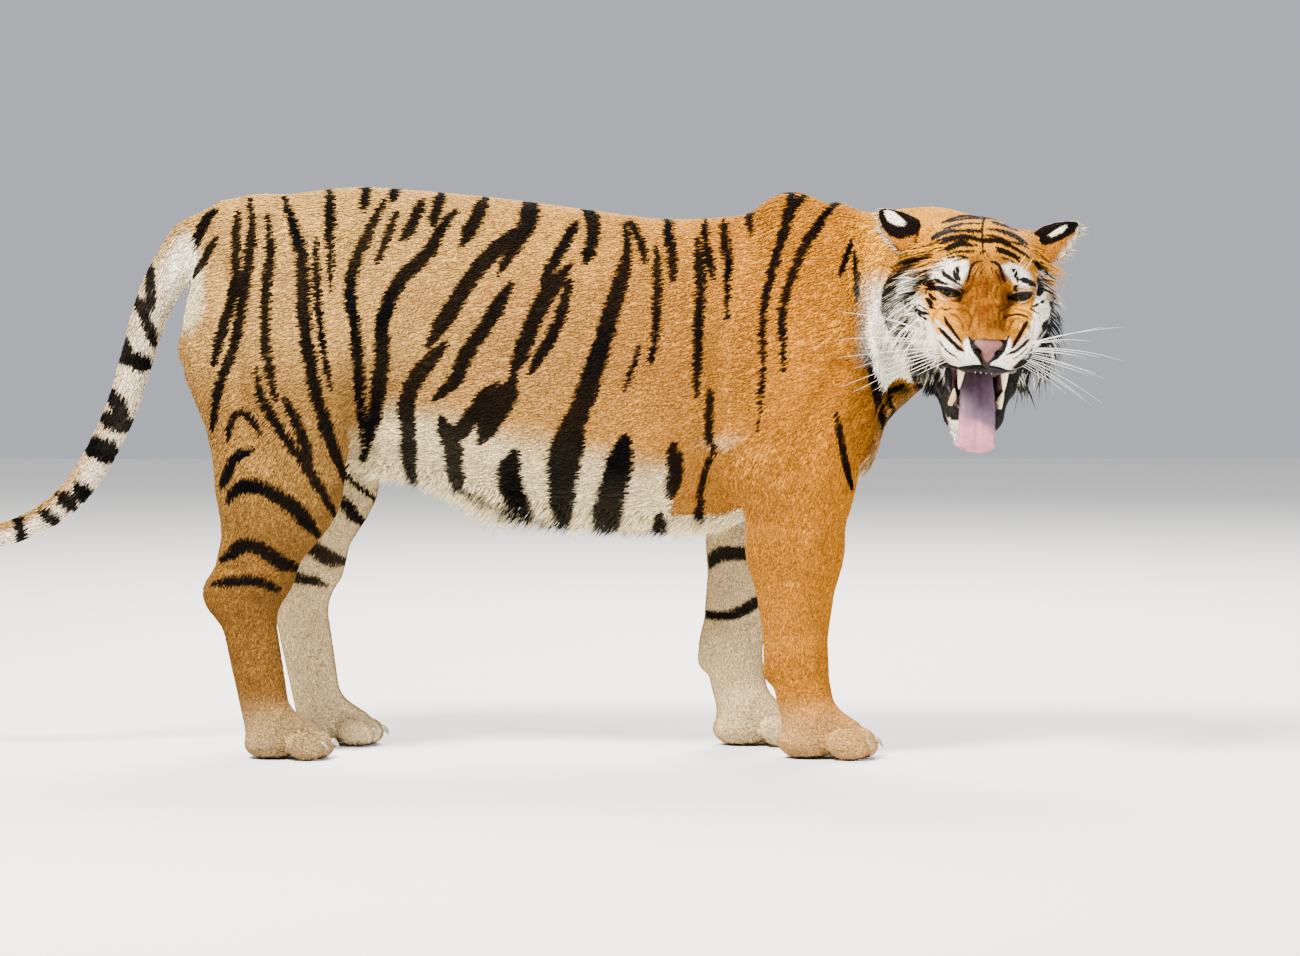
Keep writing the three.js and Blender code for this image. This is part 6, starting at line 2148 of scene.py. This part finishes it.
class TIGER_OT_tongue(bpy.types.Operator):
    """The hanging tongue, grooved along its middle and rough above"""

    bl_idname = "tiger.tongue"
    bl_label = "Tongue"

    def execute(self, context):
        look = context.scene.tiger_head
        obj = copy_of(["tongue"], "long_tongue", 2.2)
        mesh = obj.data
        p = Net(mesh).even(points_of(mesh), 14, 0.5)
        move_points(mesh, p)
        n = normals_of(mesh)
        h = to_head(p)
        groove = np.exp(-((h[:, 1] / 5.0) ** 2)) * 3.2 * (1 - ramp(h[:, 2], -262, -280))
        h = to_head(p - n * groove[:, None])
        above_tip = np.clip((h[:, 2] - h[:, 2].min()) / 20, 0.14, 1)
        h[:, 1] *= np.minimum(np.sqrt(2 / above_tip - 1), 1.7)
        p = from_head(h)
        move_points(mesh, p)
        # Painted shade: the upper part of the tongue, inside the mouth, darker and greyer.
        tongue_shade = ramp(h[:, 2] + 0.35 * h[:, 1] + 6 * ripple(p, 14, 3), -232, -206)
        paint(mesh, "pelt", mix(look.tongue, (0.1, 0.06, 0.085), tongue_shade))
        shade_smooth(mesh)
        mesh.materials.append(tongue_material())
        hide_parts("tongue")
        return {"FINISHED"}


# ---------------------------------------------------------------- whiskers and claws


BROW_WHISKER = 62


class TIGER_OT_whiskers(bpy.types.Operator):
    """White whiskers from four rows on each side of the muzzle, and a few over the eyes"""

    bl_idname = "tiger.whiskers"
    bl_label = "Whiskers"

    def execute(self, context):
        look = context.scene.tiger_head
        rng = np.random.default_rng(41)
        full = look.whisker * 1000
        bm = bmesh.new()
        for side in SIDES.values():
            starts = []
            for row in range(4):
                for k in range(5 - (row == 0)):
                    at = (68 + 9 * k - 4 * row, side * (77 - 6 * k), -70 - 10 * row)
                    out = (-0.15 + 0.12 * k, side, 0.32 - 0.24 * row)
                    starts.append((at, out, full * (1 - 0.15 * k) * rng.uniform(0.8, 1.0)))
            for k in range(3):
                at, out = (4, side * (44 + 8 * k), 30), (0.5, side * 0.35, 1.0)
                starts.append((at, out, BROW_WHISKER * rng.uniform(0.8, 1.1)))
            for at, out, long in starts:
                at, out = np.array(at, dtype=float), unit(np.array(out, dtype=float))
                sag = np.array((-0.22, 0, -0.16 * rng.uniform(0.4, 1.4))) * long
                whisker(bm, at, at + out * long * 0.5, at + out * long + sag)
        turn_to_body(bm)
        mat, tree, bsdf = material("whisker", 0.35, Specular_IOR_Level=0.6)
        grain = noise(tree, 60, 2)
        colour_between(tree, bsdf, grain, linear(236, 232, 222), linear(206, 198, 182))
        roughen(tree, bsdf, grain, 0.28, 0.45)
        bump(tree, bsdf, grain, 0.1, 0.0003)
        from_bmesh(bm, "whiskers", mat)
        return {"FINISHED"}


def whisker(bm, start, middle, end):
    sweep(bm, bent(start, middle, end, 9), 0.75 * (1 - 0.85 * np.linspace(0, 1, 9)), 4)


class TIGER_OT_claws(bpy.types.Operator):
    """The claws, drawn in so that only their points show"""

    bl_idname = "tiger.claws"
    bl_label = "Claws"

    def execute(self, context):
        bm = bmesh.new()
        for name, (side, shift, _) in LEGS.items():
            fore = name.startswith("fore")
            size = 1 if fore else 0.9
            middle = (292 + shift, side * 116, 0) if fore else (-652 + shift, side * 124, 0)
            for n in TOES:
                x, y, z = toe_place(middle, n, size)
                tooth(bm, (x + size * 30, y, z + 6), (x + size * 45, y, z - 8), 4.2, (5, 0, 5), 8, 6)
        for v in bm.verts:
            v.co.z = max(v.co.z, 0.0005)
        mat, tree, bsdf = material("claw horn", 0.3, Coat_Weight=0.3)
        grain = noise(tree, 240, 4)
        colour_between(tree, bsdf, grain, linear(176, 160, 134), linear(70, 58, 48))
        roughen(tree, bsdf, grain, 0.22, 0.42)
        bump(tree, bsdf, grain, 0.2, 0.0004)
        from_bmesh(bm, "claws", mat)
        return {"FINISHED"}


# ---------------------------------------------------------------- stage


LENS, CAMERA_DIP = 187.7, 3.5  # focal length in millimetres, and degrees below level


class TIGER_OT_stage(bpy.types.Operator):
    """A plain floor, soft studio lights and the camera"""

    bl_idname = "tiger.stage"
    bl_label = "Stage"

    def execute(self, context):
        look = context.scene.tiger_stage
        bm = bmesh.new()
        bmesh.ops.create_grid(bm, x_segments=1, y_segments=1, size=9)
        mesh = bpy.data.meshes.new("studio_floor")
        bm.to_mesh(mesh)
        bm.free()
        floor = new_object("studio_floor", mesh, body=None)
        mat, tree, bsdf = material("studio floor", 0.85)
        colour_between(tree, bsdf, noise(tree, 3, 3), look.floor, np.array(look.floor) * 0.97)
        mesh.materials.append(mat)
        world = bpy.data.worlds.new("studio")
        world.use_nodes = True
        world.node_tree.nodes["Background"].inputs["Color"].default_value = (0.86, 0.9, 1.0, 1)
        world.node_tree.nodes["Background"].inputs["Strength"].default_value = 0.6
        context.scene.world = world
        middle = Vector(metres((0, 0, 560))[0])
        for title, at, size, power, warm in (
            ("key", (-2.2, -3.0, 4.4), 1.7, look.light, (1, 0.965, 0.91)),
            ("fill", (4.2, -3.8, 1.4), 3.0, look.light * 0.2, (0.94, 0.96, 1)),
            ("rim", (0.5, 3.6, 3.4), 2.6, look.light * 0.5, (1, 0.98, 0.95)),
        ):
            data = bpy.data.lights.new(title, "AREA")
            data.energy, data.shape, data.size, data.color = power, "DISK", size, warm
            light = bpy.data.objects.new(title, data)
            light.location = middle + Vector(at)
            light.rotation_euler = (middle - light.location).to_track_quat("-Z", "Y").to_euler()
            context.scene.collection.objects.link(light)
        data = bpy.data.cameras.new("camera")
        data.lens, data.sensor_width, data.clip_end = LENS, 36, 100
        camera = bpy.data.objects.new("camera", data)
        camera.location = Vector(metres(DRAWN_FROM)[0])
        camera.rotation_euler = (math.radians(90 - CAMERA_DIP), 0, 0)
        context.scene.collection.objects.link(camera)
        context.scene.camera = camera
        return {"FINISHED"}


PIECES = (
    *("skin", "coat", "long_hair", "ears", "eyes", "nose"),
    *("mouth", "tongue", "whiskers", "claws", "stage"),
)


class TIGER_PT_panel(bpy.types.Panel):
    """The tiger's pieces"""

    bl_idname = "TIGER_PT_panel"
    bl_label = "Bengal Tiger"
    bl_space_type = "VIEW_3D"
    bl_region_type = "UI"
    bl_category = "Tiger"

    def draw(self, context):
        for group in (context.scene.tiger_coat, context.scene.tiger_head, context.scene.tiger_stage):
            box = self.layout.box()
            for prop in group.bl_rna.properties:
                if prop.identifier not in ("rna_type", "name"):
                    box.prop(group, prop.identifier)
        for piece in PIECES:
            self.layout.operator(f"tiger.{piece}")


CLASSES = (
    TigerCoat,
    TigerHead,
    TigerStage,
    TIGER_OT_skin,
    TIGER_OT_coat,
    TIGER_OT_long_hair,
    TIGER_OT_ears,
    TIGER_OT_eyes,
    TIGER_OT_nose,
    TIGER_OT_mouth,
    TIGER_OT_tongue,
    TIGER_OT_whiskers,
    TIGER_OT_claws,
    TIGER_OT_stage,
    TIGER_PT_panel,
)


def register():
    for cls in CLASSES:
        bpy.utils.register_class(cls)
    bpy.types.Scene.tiger_coat = bpy.props.PointerProperty(type=TigerCoat)
    bpy.types.Scene.tiger_head = bpy.props.PointerProperty(type=TigerHead)
    bpy.types.Scene.tiger_stage = bpy.props.PointerProperty(type=TigerStage)


def unregister():
    for name in ("tiger_coat", "tiger_head", "tiger_stage"):
        delattr(bpy.types.Scene, name)
    for cls in reversed(CLASSES):
        bpy.utils.unregister_class(cls)


def main():
    register()
    for piece in PIECES:
        getattr(bpy.ops.tiger, piece)()


if __name__ == "__main__":
    main()
